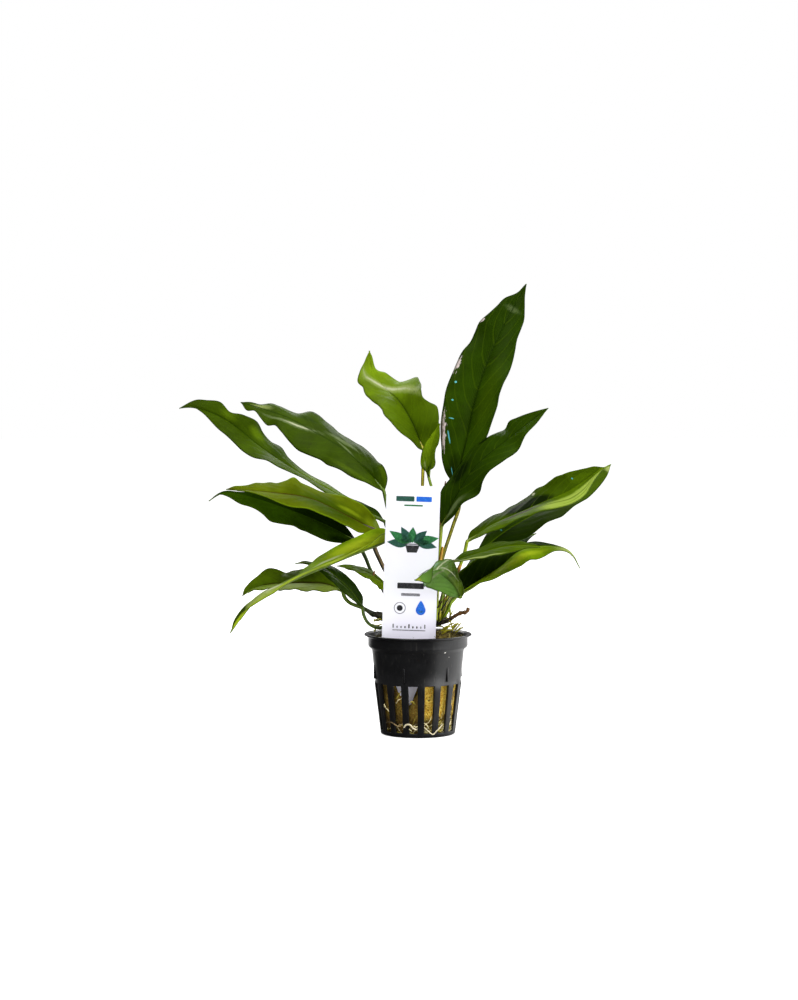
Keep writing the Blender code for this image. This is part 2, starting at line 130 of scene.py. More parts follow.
def use_effect(tree, group, **plugs):
    made = tree.nodes.new("ShaderNodeGroup")
    made.node_tree = group
    for label, value in plugs.items():
        socket = made.inputs[label.replace("_", " ")]
        if isinstance(value, bpy.types.NodeSocket):
            tree.links.new(value, socket)
        else:
            socket.default_value = value
    return made.outputs


def new_finish(name):
    """A material with only its Principled shader: the material, its tree and its Object coordinates."""
    finish = bpy.data.materials.new(name)
    finish.use_nodes = True
    return finish, finish.node_tree, add_node(finish.node_tree, "TexCoord").outputs["Object"]


def plug_in(tree, colour, rough, bump=None, shine=None):
    """Give the Principled shader its colour, roughness, bump and specular level, and return it."""
    shader = tree.nodes["Principled BSDF"]
    tree.links.new(colour, shader.inputs["Base Color"])
    tree.links.new(rough, shader.inputs["Roughness"])
    if bump is not None:
        tree.links.new(bump, shader.inputs["Normal"])
    if shine is not None:
        shader.inputs["Specular IOR Level"].default_value = shine
    return shader


print("helpers for effects and finishes ready")

# %% [markdown]
# The studio is a white sweep. What the camera sees behind the plant is plain white, while the light that
# falls on the plant comes from a dimmer room and five soft boxes: one overhead, one on each side of the
# camera, a weak low one at the right for the pot, and one behind that lets the thinner leaves glow.

# %% Light
ROOM_LIGHT = 0.12
SOFT_BOXES = {
    # name: (place, aim, size, power in watts)
    "overhead": ((0.0, -0.1, 1.05), (0, 0, 0.12), (0.8, 0.6), 5.5),
    "right_panel": ((0.7, -0.1, 0.32), (0, -0.1, 0.2), (1.3, 0.6), 8.0),
    "front_high": ((-0.35, -0.8, 1.1), (0, 0, 0.12), (0.6, 0.6), 13.0),
    "behind": ((0.0, 0.9, 0.8), (0, 0, 0.13), (1.0, 0.5), 9.0),
    "low_right": ((0.6, -0.6, 0.16), (0, 0, 0.03), (0.8, 0.5), 2.2),
}
WHITE = (1, 1, 1, 1)

bpy.context.scene.view_settings.view_transform = 'Standard'
world = bpy.data.worlds.new("studio")
world.use_nodes = True
bpy.context.scene.world = world
room = world.node_tree
room.nodes.clear()
path = add_node(room, "LightPath")
dim = add_node(room, "Background", {"Color": WHITE, "Strength": ROOM_LIGHT})
plain = add_node(room, "Background", {"Color": WHITE, "Strength": 1.0})
both = add_node(room, "MixShader", {0: path.outputs["Is Camera Ray"], 1: dim.outputs[0], 2: plain.outputs[0]})
add_node(room, "OutputWorld", {0: both.outputs[0]})
for name, (place, aim, size, power) in SOFT_BOXES.items():
    lamp = bpy.data.lights.new("soft_box_" + name, 'AREA')
    lamp.shape = 'RECTANGLE'
    lamp.size, lamp.size_y = size
    lamp.energy = power
    box = bpy.data.objects.new("soft_box_" + name, lamp)
    box.location = place
    box.rotation_euler = (Vector(aim) - Vector(place)).to_track_quat('-Z', 'Y').to_euler()
    bpy.context.scene.collection.objects.link(box)
print("soft boxes:", len(SOFT_BOXES))

# %% [markdown]
# The floor looks a little brighter than it is lit, so it stays pale, and keeps a faint shadow at the pot's
# foot, with a painted warm glow beside it, as where light comes through the wool. Shiny things mirror its
# left part as if a black card lay there, and its right part a little brighter: painted reflections, which
# give the pot its dark left and its sheen on the right.

# %% Floor
FLOOR_SIZE = 6
FLOOR_GLOW = 0.6
MIRROR_GLOW = 0.3
WARM_GLOW_SPOT = (-0.026, -0.011, 0)

bm = bmesh.new()
bmesh.ops.create_grid(bm, x_segments=1, y_segments=1, size=FLOOR_SIZE)
mesh = bpy.data.meshes.new("studio_floor")
bm.to_mesh(mesh)
bm.free()
floor = bpy.data.objects.new("studio_floor", mesh)
bpy.context.scene.collection.objects.link(floor)
floor_paper, tree, here = new_finish("floor_paper")
rays = add_node(tree, "LightPath").outputs
shade = blend_colours(tree, cloudy(tree, here, 30.0), rgba((0.68, 0.68, 0.68)), rgba((0.71, 0.71, 0.71)))
spot = add_node(tree, "SeparateXYZ", {0: here})
card = remap(tree, sums(tree, 'MULTIPLY_ADD', spot.outputs[1], 0.8, spot.outputs[0]), 0.05, -0.02)
mirrored = sums(tree, 'MULTIPLY', rays["Is Glossy Ray"], card)
far = add_node(tree, "VectorMath", {0: here}, operation='LENGTH')
glow = remap(tree, far.outputs["Value"], 0.1, 0.7, FLOOR_GLOW, 1.0)
glow = sums(tree, 'MULTIPLY', glow, rays["Is Camera Ray"])
sheen = sums(tree, 'SUBTRACT', rays["Is Glossy Ray"], mirrored)
glow = sums(tree, 'MULTIPLY_ADD', sheen, MIRROR_GLOW, glow)
# The warm tint is a painted glow on the floor beside the pot's foot.
beside = add_node(tree, "VectorMath", {0: here, 1: WARM_GLOW_SPOT}, operation='DISTANCE')
warm_glow = remap(tree, beside.outputs["Value"], 0.01, 0.002, 0.0, 0.9)
shader = tree.nodes["Principled BSDF"]
shader.inputs["Roughness"].default_value = 0.5
tree.links.new(blend_colours(tree, mirrored, shade, rgba((0.02, 0.02, 0.02))), shader.inputs["Base Color"])
tree.links.new(glow, shader.inputs["Emission Strength"])
tree.links.new(blend_colours(tree, warm_glow, WHITE, rgba((1, 0.8, 0.6))), shader.inputs["Emission Color"])
floor.data.materials.append(floor_paper)
print("floor (m):", round(floor.dimensions.x, 1))

# %% [markdown]
# Every leaf is one lance-shaped blade, bent in space. The table says the same about each leaf as the
# construction script does: a smooth centre line in millimetres from stalk to tip, the widest half width, and
# how far each margin stands above or below the centre line at nine even places. The numbers were chosen for
# this plant. "Left" and "right" are as seen from the stalk.

# %% The eighteen leaves
LEAVES = [
    dict(name="01_far_left", half_width=11.5, belly=1.1, point=0.2,
         spine=[(-17, 8, 108), (-37, 10, 119.5), (-60.5, 12, 132.5), (-80, 14, 145.5),
                (-100.5, 16, 161), (-122, 18, 168.5)],
         left=[-2.5, -1.5, -1.5, -1, -2.5, -5.5, -7, -5.5, -1.5],
         right=[2, 1, 1.5, 1.5, 4, 5, 7, 8, 4],
         stalk=[(-5, 3.5, 62), (-7, 5, 74), (-12.5, 7, 95)]),
    dict(name="02_upper_left", half_width=14, belly=0.9, point=0.4,
         spine=[(-17.5, 10, 123.5), (-25, 14, 133), (-38, 22, 144.5), (-59, 30, 156.5),
                (-72, 35, 162.5), (-93, 42, 169)],
         left=[-4.5, -8, -10.5, -11, -11.5, -11, -8, -6, -2.5],
         right=[6.5, 5, 4, 5, 6, 6.5, 3.5, 4.5, 1],
         stalk=[(-2, 4.5, 62), (-6, 8, 82), (-14, 10, 108)]),
    dict(name="03_mid_left", half_width=12, belly=0.85, point=0.4,
         spine=[(-21, -4, 104), (-37, -9, 112.5), (-54.5, -15, 121), (-74, -23, 124.5), (-95.5, -32, 126.5)],
         left=[-5, -5.5, -5.5, -6, -6, -6, -4.5, -2, -0.5],
         right=[6, 8, 7, 6, 6, 7.5, 4.5, 3.5, 1.5],
         stalk=[(-10, 0, 61.5), (-13, -1, 76), (-18.5, -3, 87), (-22.5, -4, 97)]),
    dict(name="04_under_left", half_width=11.5, belly=0.85, point=0.4,
         spine=[(-31, 14, 97), (-45, 11, 105), (-63, 6, 113), (-80.5, 0, 119.5), (-96, -5, 123.5),
                (-105.5, -8, 121)],
         left=[-4.5, -7, -7, -7, -7, -7, -5, -4, -1],
         right=[4, 5, 6, 6, 6, 5, 3, 1, 0.5],
         stalk=[(-13, 3.5, 62), (-18, 8, 73), (-24, 12, 82), (-27, 13.5, 89)]),
    dict(name="05_front_left", half_width=10.5, belly=0.95, point=0.4,
         spine=[(-11, 0, 101), (-33, -18, 93.5), (-53, -35, 86), (-66, -42, 80.5), (-80, -50, 73),
                (-92, -57, 57.5)],
         left=[2.5, 3, 2.5, 2.5, 2.5, 2, 0.5, 1, 0.5],
         right=[6, 6.5, 6.5, 3, -1, -2, -1.5, -0.8, -0.3],
         stalk=[(-7, -0.5, 61.5), (-7.5, -1, 78), (-8, 0, 92)]),
    dict(name="06_low_left", half_width=10.5, belly=0.85, point=0.4,
         spine=[(-38.5, 2, 73), (-48, 8, 76), (-61, 16, 75.5), (-77, 26, 74), (-85, 32, 71.5),
                (-92.5, 38, 67)],
         left=[-2.5, -3.5, -4, -2.5, -3.5, -2, -2.5, -1.5, -0.3],
         right=[4, 7, 8, 7.5, 7, 6.5, 7, 5, 2.5],
         stalk=[(-23, 0.5, 61), (-28, 1, 64), (-34.5, 1.5, 66.5), (-37.5, 2, 69.5)]),
    dict(name="07_low_inner_left", half_width=7, belly=0.8, point=0.5,
         spine=[(-28, -14, 66), (-33.5, -15, 74), (-39.5, -16, 80), (-47, -17, 86), (-55, -18, 89),
                (-61, -19, 89)],
         left=[-2, -3, -3.5, -3.5, -3.5, -3, -2.5, -1.5, -0.5],
         right=[2.5, 3, 4, 4.5, 4.5, 3, 1, 0.2, 0.1],
         stalk=[(-14, -4.5, 56.5), (-20, -9, 55), (-25, -12.5, 57.5), (-27.5, -14, 62)]),
    dict(name="08_back_left", half_width=5.5, belly=0.8, point=0.6,
         spine=[(-15, -2.5, 75), (-23.5, -4, 81.5), (-32.5, -6, 85), (-41.5, -8, 86.5)],
         left=[-2, -2, -2, -1.5, -1.5, -1, -0.5, -0.5, -0.2],
         right=[1.5, 1.5, 1.5, 1.5, 1.5, 1, 0.8, 0.5, 0.2],
         stalk=[(-13, -3, 61), (-14.5, -3, 68)]),
    dict(name="09_top_left", half_width=15.5, belly=0.7, point=0.3,
         spine=[(3, 12, 144.5), (-2.5, 18, 158), (-9.5, 25, 169.5), (-18, 31, 177.5), (-23.8, 34.5, 186),
                (-25.2, 36.5, 196)],
         left=[-0.5, -0.5, -0.5, -1, -2, -3.5, -5, -4.5, -2.5],
         right=[9, 13.5, 14.5, 15, 12, 6, 3, 1, 0.5],
         stalk=[(1, 4.5, 62), (1.5, 8, 85), (2, 11, 110), (2.5, 12, 130)]),
    dict(name="10_young_centre", half_width=4.5, belly=0.8, point=0.4,
         spine=[(5.5, 6, 131), (5, 5, 137), (7, 3, 145), (11, 0, 158.5)],
         left=[-2, -3.5, -3.5, -3, -2, -1.5, -1.5, -1, -0.5],
         right=[1, 2, 3, 3.5, 3.5, 3.5, 3, 2, 1],
         stalk=[(4, 2, 62), (5.5, 4, 85), (7, 6, 108), (7.5, 6.5, 122)]),
    dict(name="11_tall_right", half_width=16, belly=0.88, point=0.1,
         spine=[(19.5, 20, 126), (25, 22, 148), (31, 25, 174), (41, 29, 201), (56.5, 34, 230)],
         left=[8.5, 13.5, 15, 15, 14.5, 13.5, 11.5, 9.5, 5.5],
         right=[-4, -6, -7.5, -8.5, -9, -11, -10.5, -8.5, -5],
         stalk=[(7, 5, 62), (10, 7, 76), (13, 9, 90), (18, 13, 105), (21.5, 17, 116)]),
    dict(name="12_front_of_tall", half_width=12.5, belly=0.95, point=0.3,
         spine=[(12, 5, 105.5), (19, 4, 120), (29, 2, 136), (44.5, 0, 149.5), (66, -4, 166.5)],
         left=[4.5, 7.5, 7.5, 7.5, 8, 7.5, 5, 4.5, 2.5],
         right=[-3, -5, -9, -8, -6.5, -7, -7.5, -4.5, -2],
         stalk=[(7.5, 1.5, 62), (9.8, 2, 75), (11, 4, 92)]),
    dict(name="13_upper_right", half_width=12, belly=0.95, point=0.4,
         spine=[(25, -2, 98.5), (38, 0, 107), (52, 2, 113), (65, 3, 118.5), (77, 4, 123.5), (87.5, 5, 130.5),
                (95.5, 6, 136)],
         left=[2.5, 2.5, 3, 3.5, 5, 7, 8, 6.5, 3],
         right=[-1.5, -2, -2, -2, -2.5, -4, -6, -5, -2],
         stalk=[(10.5, 0, 61.5), (14.5, 0, 69), (20, -1, 82), (23.5, -1.5, 92)]),
    dict(name="14_back_right", half_width=13, belly=1.0, point=0.2,
         spine=[(30, 12, 90.5), (45, 19, 102), (63.5, 26, 112.5), (82, 31, 123.5), (101.5, 36, 136.5)],
         left=[4, 5, 6, 6, 6, 5, 4, 2, 1],
         right=[-4, -6, -7, -7.5, -6.5, -7.5, -6.5, -5.5, -3],
         stalk=[(10.8, 3, 62), (15.5, 6, 69), (24, 9.5, 82)]),
    dict(name="15_front_right", half_width=8, belly=0.85, point=0.4,
         spine=[(17.5, -10, 89), (31, -15, 93.5), (43.5, -20, 97), (53.5, -25, 98), (61, -29, 97.5)],
         left=[2, 2.5, 3, 3.5, 4, 3.5, 3.5, 2, 1],
         right=[-1.5, -2, -2.5, -3, -3.5, -3.5, -3, -2, -1],
         stalk=[(9.5, -3, 61.5), (12, -6, 70), (14.5, -8.5, 80)]),
    dict(name="16_low_right", half_width=11, belly=0.75, point=0.5,
         spine=[(20, -4, 71), (31.5, -6, 79), (41.5, -6, 85.5), (52, -6, 94), (64.5, -7, 96.5),
                (75.5, -9, 94.5), (81.5, -10, 87.5)],
         left=[6.5, 9, 9, 6, 4, 2.5, 1.5, 0.5, 0.2],
         right=[-0.5, -1, -1.5, -3, -4.5, -5, -4.5, -1.5, -0.3],
         stalk=[(12.2, -1.8, 61), (15.5, -3, 65.5)]),
    dict(name="17_over_label", half_width=9.5, belly=0.85, point=0.4,
         spine=[(21.5, -14, 71), (17, -22, 79.5), (11, -33, 86.5), (4.5, -44, 86.5), (-2, -52, 83)],
         left=[3, 4, 5, 5.5, 6, 5, 3, 1.5, 0.5],
         right=[-4, -5, -6, -6, -6, -5, -4, -2, -1],
         stalk=[(9.5, -4.5, 58), (14, -8, 61), (17.5, -9.5, 64.5), (20.5, -11, 67.5)]),
    dict(name="18_hidden_right", half_width=6, belly=0.85, point=0.5,
         spine=[(31, 22, 87.5), (47, 34, 93.5), (63, 46, 99.5)],
         left=[2, 3, 3, 3, 3, 3, 2, 1, 0.5],
         right=[-2, -3, -3, -3, -3, -3, -2, -1, -0.5],
         stalk=[(12.2, 5.4, 59.5), (16, 10.5, 67), (25, 17.5, 80)]),
]

print("leaves:", len(LEAVES))

# %% [markdown]
# These short formulas turn a row of the table into a surface. A smooth curve runs through the given points,
# and the half width swells and narrows like a lance. Where a margin rises, it reaches less far sideways, so
# the blade folds without getting wider.

# %% Centre line and outline of a leaf
def along(values, t):
    """A smooth value at t (0 to 1) through evenly spaced values or points."""
    v = np.asarray(values, float)
    v = np.concatenate([[2 * v[0] - v[1]], v, [2 * v[-1] - v[-2]]])
    x = min(max(t, 0.0), 1.0) * (len(v) - 3)
    i = min(int(x), len(v) - 4)
    u = x - i
    a, b, c, d = v[i:i + 4]
    return 0.5 * (2 * b + (c - a) * u + (2 * a - 5 * b + 4 * c - d) * u * u
                  + (3 * b - a - 3 * c + d) * u ** 3)


def even_steps(spine, count=60):
    """The spine resampled so that equal steps are equal lengths, and its length."""
    fine = np.array([along(spine, k / count) for k in range(count + 1)])
    run = np.concatenate([[0], np.cumsum(np.linalg.norm(np.diff(fine, axis=0), axis=1))])
    goal = np.linspace(0, run[-1], count + 1)
    return np.stack([np.interp(goal, run, fine[:, k]) for k in range(3)], 1), run[-1]


def leaf_frame(line, s):
    """Centre point, direction, level side direction and lift direction at s."""
    n = len(line) - 1
    x = min(max(s, 0.0), 1.0) * n
    i = min(int(x), n - 1)
    share = x - i
    centre = line[i] + (line[i + 1] - line[i]) * share
    here = line[min(i + 3, n)] - line[max(i - 2, 0)]
    then = line[min(i + 4, n)] - line[max(i - 1, 0)]
    ahead = here / np.linalg.norm(here) * (1 - share) + then / np.linalg.norm(then) * share
    ahead /= np.linalg.norm(ahead)
    level = np.cross([0, 0, 1.0], ahead)
    level /= np.linalg.norm(level)
    return centre, ahead, level, np.cross(ahead, level)


def half_width(leaf, s):
    """Lanceolate outline: rounded wedge at the stalk, long drawn-out tip."""
    body = math.sin(math.pi * min(max(s, 0.0), 1.0) ** leaf["belly"])
    return leaf["half_width"] * max(body, 0.0) ** (0.75 + leaf["point"] * s)


ARCH = 0.12


def blade_row(leaf, line, s):
    """What a row across the blade needs: its frame, half width, and each margin's direction."""
    centre, ahead, level, lift = leaf_frame(line, s)
    width = max(half_width(leaf, s), 0.35 + 0.5 * (1 - s))
    sides = {}
    for side, margin in ((1, "left"), (-1, "right")):
        rise = along([0] + leaf[margin] + [0], s)
        rise = max(-0.96 * width, min(0.96 * width, rise))
        across = level * (side * math.sqrt(width ** 2 - rise ** 2)) + lift * rise
        sides[side] = (across, np.cross(ahead, across) * side / width)
    return centre, width, sides


print("first leaf's length (mm):", round(even_steps(LEAVES[0]["spine"])[1], 1))

# %% [markdown]
# A living blade isn't smooth. The midrib lies in a shallow groove, the skin puckers a little between the
# side veins, and the margin swings in and out in slow waves and ruffles up and down in quicker ones. The
# slow waves differ from leaf to leaf, so they are a table. The heights must stay small, because the light
# shows them much more than their size suggests.

# %% How each margin waves, as seen from the front
MARGIN_WAVES = {
    # name: (left margin, right margin), in mm outwards at even places from stalk to tip
    "01_far_left": (
        [0, -0.5, -0.5, -0.5, -0.5, -0.5, -0.5, -0.5, -1, -1, -1.5, 0, 0, -0.5, -0.5, 0, 0, -0.5, -1],
        [1.5, 0, -0.5, -0.5, 0, 0, -0.5, -1, -2, -2, 0.5, -0.5, -0.5, 1, -1, -3, 1, 1.5, 2]),
    "02_upper_left": (
        [-0.5, -1, -1, -1, -1.5, -1.5, -1, -1.5, -1, -0.5, 0, -0.5, -1, -1.5, -2, 1, 0.5, -0.5, 2],
        [1.5, 1, -1, -1, -0.5, -0.5, -2, -2.5, -2, -1, -1, 0, 1, -1.5, -2, -1, 1, 0.5, 1]),
    "03_mid_left": (
        [0, 0, 0],
        [2, 2, 1.5, 1, 1, 0.5, 0, 0, 0.5, 1, 2, -1, -1.5, 0.5, 0.5, 0.5, 0, 0.5, 1]),
    "04_under_left": (
        [0.5, 0.5, 0.5, 0.5, 0.5, 0.5, 0.5, 1, 0.5, 1, 1.5, 2, 1, 0.5, 0.5, 1, 1, 0.5, -1],
        [0, 0, 0]),
    "05_front_left": (
        [2.5, 2.5, 1.5, 0.5, 0, -0.5, -1, -1, -1, -0.5, -0.5, -1, -1.5, -1, 1.3, 1.6, 0, -2, -2],
        [3, 3, 1.5, 0, -1, -1.5, -1.5, -1, -1, 0.5, 1, 1, 0.5, -0.6, -0.8, -0.8, 0.8, 1.8, 1.8]),
    "06_low_left": (
        [-0.5, 0, 0, 0.1, 0.4, -0.7, -1.4, 0, -1, -0.8, -0.4, 0.5, -0.3, -1, -0.6, 0, 0, 0, 0],
        [0, 0, 0, 0, 0, 0, 0, 0, 0, -0.5, -0.5, -1.2, 0.2, 1.3, 1.5, 1.5, 1.5, 1.5, 1.5]),
    "07_low_inner_left": ([0, 0, 0, 0, 0, 0, 0, 0.3, 0.6], [1, 0.5, 0, -0.5, -1, -1, -1, 0, 0.8]),
    "08_back_left": ([1.5, 1.2, 1.5, 1.8, 2, 2.2, 2, 1, 0], [-1, -0.5, 0, 0.5, 0.5, 0.8, 1, 1, 1]),
    "09_top_left": (
        [-2, -2.5, -2, -1, 0, 0.5, 0.5, 0, 0.5, 1, 1.5, 2, 2, 1.5, 1, 3, 1.5, 0.5, 0.5],
        [0, 1, 2, 2, 1.5, -1.5, -3, -2, -1, 0.5, 3, 2, 0, 0, 0.5, 1, -1.5, -1.5, -0.5]),
    "10_young_centre": ([0, 0.5, -0.5, -2, -2, -1, -0.5, 0, 0], [0, 0, 0]),
    "11_tall_right": (
        [1.5, 2, 1.5, 1.5, 1.5, 1, 0.5, 0.5, 0, -0.5, -0.5, -0.5, -1.5, -0.5, 1, 0.5, 0.5, 1, -1],
        [0, 0, -0.5, -1, -1.5, -2, -2, -2, -2.5, -2, -1.5, -1.5, -1.5, -1.5, -1.5, -0.5, 0.5, 0, -0.5]),
    "12_front_of_tall": (
        [1, 1, 1.5, 1.5, 1, 0.5, 0, 0, 0, 0, 0, 0, 0, 0, 2.5, 2, 1.5, 1, 0.5],
        [1, 0.5, 1, 0.5, 0.5, 0.5, 0.5, 0, 0.5]),
    "13_upper_right": (
        [1, 0.5, 0.5, 0, -0.5, -1, 0, 0, 0.5, 0.5, 0.5, -0.5, 0.5, 1.5, 1.5, 2, 2, 2, 2],
        [0, 0, 0]),
    "14_back_right": (
        [-1, -1.5, -1.5, -1, 0, 0, 0, 0, 0, 0, 0, 0, 0, 0, 0, 0, 0, 0, 0],
        [0, 0, 0, 0, 0, 0, -1, -2, -2.5, -1.5, -0.5, -1, -1.5, -1, 0, 0.5, 1, 1.5, 1.5]),
    "15_front_right": ([0.5, 0, 0, -0.5, -1, -1.5, -1.5, -1, 0], [0, 0, 0]),
    "16_low_right": (
        [2, 3, 2, 1, 0.5, 0, 0, 0, 0, 0, 0, -0.5, -0.5, -0.5, -0.5, -1, -1, -0.5, 0],
        [1, 0, -0.5, 0, 1, 1, 1, 1.5, 1.5, 1.5, 1, 0.5, 1, 1, 1, 0.5, 0, 0, 0]),
    "17_over_label": (
        [-0.5, -1.5, -2.5, -3.2, -4.2, -4.3, -4, -3.5, -3, -2, -1, 0, 1.5, 2.5, 5, 7.5, 9.5, 8.5, 4],
        [0, 0, 0, 0, 0.5, 1, 1.5, 2.3, 2.4, 2.5, 2.8, 3.3, 4.2, 4.8, 6.2, 7.8, 7.3, 5, 2.3]),
}
# How far a margin flares out at the stalk, by leaf and side (1 left, -1 right), and where that ends.
FOOT_FLARES = {("03_mid_left", -1): (4.8, 0, -6.5)}
FLARE_END = 0.13
HOOK_START = 0.93
TIP_HOOKS = {"01_far_left": (-1.2, 0, -2.4), "04_under_left": (-0.6, 0, -1.6),
             "07_low_inner_left": (-1.0, 0, -0.6), "11_tall_right": (0.2, 0, 0.8),
             "16_low_right": (0.6, 0, -2.2)}


def margin_push(leaf, side, ahead, across, width, s):
    """How far the margin moves from its plain place: square to the leaf, in the plane of the front view."""
    waves = MARGIN_WAVES.get(leaf["name"])
    flare = np.array(FOOT_FLARES.get((leaf["name"], side), (0, 0, 0))) * max(0, 1 - s / FLARE_END)
    if not waves:
        return flare
    outward = np.array([-ahead[2], 0, ahead[0]]) / math.hypot(ahead[0], ahead[2])
    lean = math.tanh(4 * (outward @ across) / width)
    return flare + outward * lean * along([0] + waves[0 if side > 0 else 1] + [0], s)


def tip_hook(leaf, s):
    """Old tips are dry and bend over in the last few millimetres."""
    share = max(0, (s - HOOK_START) / (1 - HOOK_START))
    return np.array(TIP_HOOKS.get(leaf["name"], (0, 0, 0))) * share ** 2


print("leaves with waving margins:", len(MARGIN_WAVES), "with hooked tips:", len(TIP_HOOKS))

# %% [markdown]
# The finer relief comes next. Its heights are added square to the blade's skin.

# %% Veins, puckers and ruffles as heights
SIDE_VEINS = 9
VEIN_SLANT = 2.6
PUCKER = 0.08
RIB_GROOVE = 0.38
PLAIN_RUFFLE = 0.4
RUFFLES = {"01_far_left": 0.55, "02_upper_left": 0.9, "05_front_left": 0.2, "06_low_left": 0.8,
           "08_back_left": 0.05, "09_top_left": 0.8, "11_tall_right": 0.8, "13_upper_right": 0.7,
           "14_back_right": 0.7}


def relief(leaf, number, s, v, width):
    """Height of the blade's skin above its plain surface at s along and v across."""
    a = abs(v)
    side = 1 if v >= 0 else -1
    ends = min(1.0, s * 8, (1 - s) * 5)
    veins = s * SIDE_VEINS - VEIN_SLANT * a ** 1.4 + 0.25 * math.sin(5 * s + number)
    pucker = -PUCKER * math.cos(math.tau * veins) * math.sin(math.pi * min(a * 1.15, 1)) * ends
    rib = -RIB_GROOVE * math.exp(-(a * width / 0.6) ** 2) * (1 - 0.6 * s)
    turn = number * 1.7 + side * 0.9
    ruffle = math.sin(math.tau * 3.1 * s + turn) * 0.6 + math.sin(math.tau * 5.3 * s + 2.1 * turn) * 0.4
    ruffle *= RUFFLES.get(leaf["name"], PLAIN_RUFFLE) * a ** 3 * ends
    return pucker + rib + ruffle


sample = [round(relief(LEAVES[0], 0, 0.5, v, 11), 2) for v in (0, 0.25, 0.5, 0.75, 1)]
print("heights across the first leaf (mm):", sample)

# %% [markdown]
# A finished piece always goes the same way: its bmesh becomes an object at the origin, it gets its finishes,
# it rides on the plant's only body, and the solids that it stands for are hidden.

# %% Turn a finished piece into an object on the plant's body
def finish_piece(name, bm, finishes, stands_for=(), smooth=True):
    for face in bm.faces:
        face.smooth = smooth
    mesh = bpy.data.meshes.new(name)
    bm.to_mesh(mesh)
    bm.free()
    for skin in finishes:
        mesh.materials.append(skin)
    piece = bpy.data.objects.new(name, mesh)
    bpy.context.scene.collection.objects.link(piece)
    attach(piece, "root")
    if stands_for:
        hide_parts(*stands_for)
    return piece


# %% [markdown]
# The blade starts as a flat grid, closest-meshed at the midrib. Each vertex moves to its place on the curved
# surface, and keeps two notes for the material: a UV place, which is (s, across), and its real distances in
# millimetres. A thin Solidify gives the blade its thickness, with a second material on the underside. Two
# blades are turned over towards the viewer, so their two materials and their midribs change sides.

# %% Grow a blade
ROWS = 150
COLUMNS = 36
BLADE_THICK = 0.4
SHOWS_UNDERSIDE = {"10_young_centre", "17_over_label"}


def grow_blade(leaf, number, finishes):
    line, length = even_steps(leaf["spine"])
    bm = bmesh.new()
    blade_map = bm.loops.layers.uv.new("blade")
    span = bm.verts.layers.float_vector.new("span")
    bmesh.ops.create_grid(bm, x_segments=ROWS, y_segments=COLUMNS, size=1)
    rows = {}
    pushes = {}
    place = {}
    for vert in bm.verts:
        s = (vert.co.x + 1) / 2
        v = math.copysign(abs(vert.co.y) ** 1.3, vert.co.y)
        key = round(s * 10000)
        if key not in rows:
            rows[key] = blade_row(leaf, line, s)
        centre, width, sides = rows[key]
        side = 1 if v >= 0 else -1
        across, upper = sides[side]
        if (key, side) not in pushes:
            pushes[key, side] = margin_push(leaf, side, leaf_frame(line, s)[1], across, width, s)
        f = abs(v)
        rise = 2 * ARCH * f * (1 - f) * width + relief(leaf, number, s, v, width)
        vert.co = (centre + across * f + upper * rise + pushes[key, side] * f ** 2 + tip_hook(leaf, s)) * MM
        vert[span] = (s * length, v * width, width)
        place[vert.index] = (s, (v + 1) / 2)
    for face in bm.faces:
        for corner in face.loops:
            corner[blade_map].uv = place[corner.vert.index]
    name = leaf["name"]
    piece = finish_piece("blade_" + name, bm, finishes, ["leaf_" + name])
    wall = piece.modifiers.new("thickness", 'SOLIDIFY')
    wall.thickness = BLADE_THICK * MM
    wall.offset = 0
    wall.material_offset = 1
    wall.material_offset_rim = 1


print("blade grid:", ROWS, "by", COLUMNS)

# %% [markdown]
# Leaf colour is built from tones. A leaf is lighter or darker on each side of its midrib and from stalk to
# tip, and young leaves are brighter than old ones. Part of this is painted light: a half that lies in another
# leaf's shade gets dark tones as painted shade, and a half lit through from behind gets bright ones. The
# tones are named once here, as linear colours. Grey, cream, glint and the bluish sheen tone serve for painted
# sheen and highlights on the leaves, pale often does too, and ink and deep often serve for painted shade.

# %% Named tones
TONES = {
    "ink": (0.003, 0.008, 0.0004), "deep": (0.009, 0.024, 0.0005), "dark": (0.017, 0.041, 0.0006),
    "moss": (0.036, 0.068, 0.001), "mid": (0.062, 0.11, 0.0015), "fresh": (0.1, 0.17, 0.0025),
    "bright": (0.19, 0.3, 0.005), "lime": (0.34, 0.45, 0.012), "ripe": (0.1, 0.135, 0.002),
    "pale": (0.36, 0.43, 0.13), "grey": (0.16, 0.21, 0.08), "cream": (0.62, 0.64, 0.42),
    "jade": (0.085, 0.19, 0.028), "blue sheen": (0.2, 0.36, 0.2), "lime crust": (0.62, 0.52, 0.5),
    "glint": (0.1, 0.42, 0.45),
    "brown": (0.06, 0.035, 0.006), "rust": (0.3, 0.13, 0.02), "straw": (0.4, 0.33, 0.03),
    "bark": (0.022, 0.013, 0.006), "celery": (0.3, 0.4, 0.06), "gilt": (0.42, 0.5, 0.02),
}
print("tones:", len(TONES))

# %% [markdown]
# The vein group reads the blade's own map, so its lines follow the leaf however it bends. Side veins are even
# steps along the leaf, bent forward towards the margin. The same lines, more closely spaced, give the fine
# veins between them. The group puts out masks and one height for a bump.

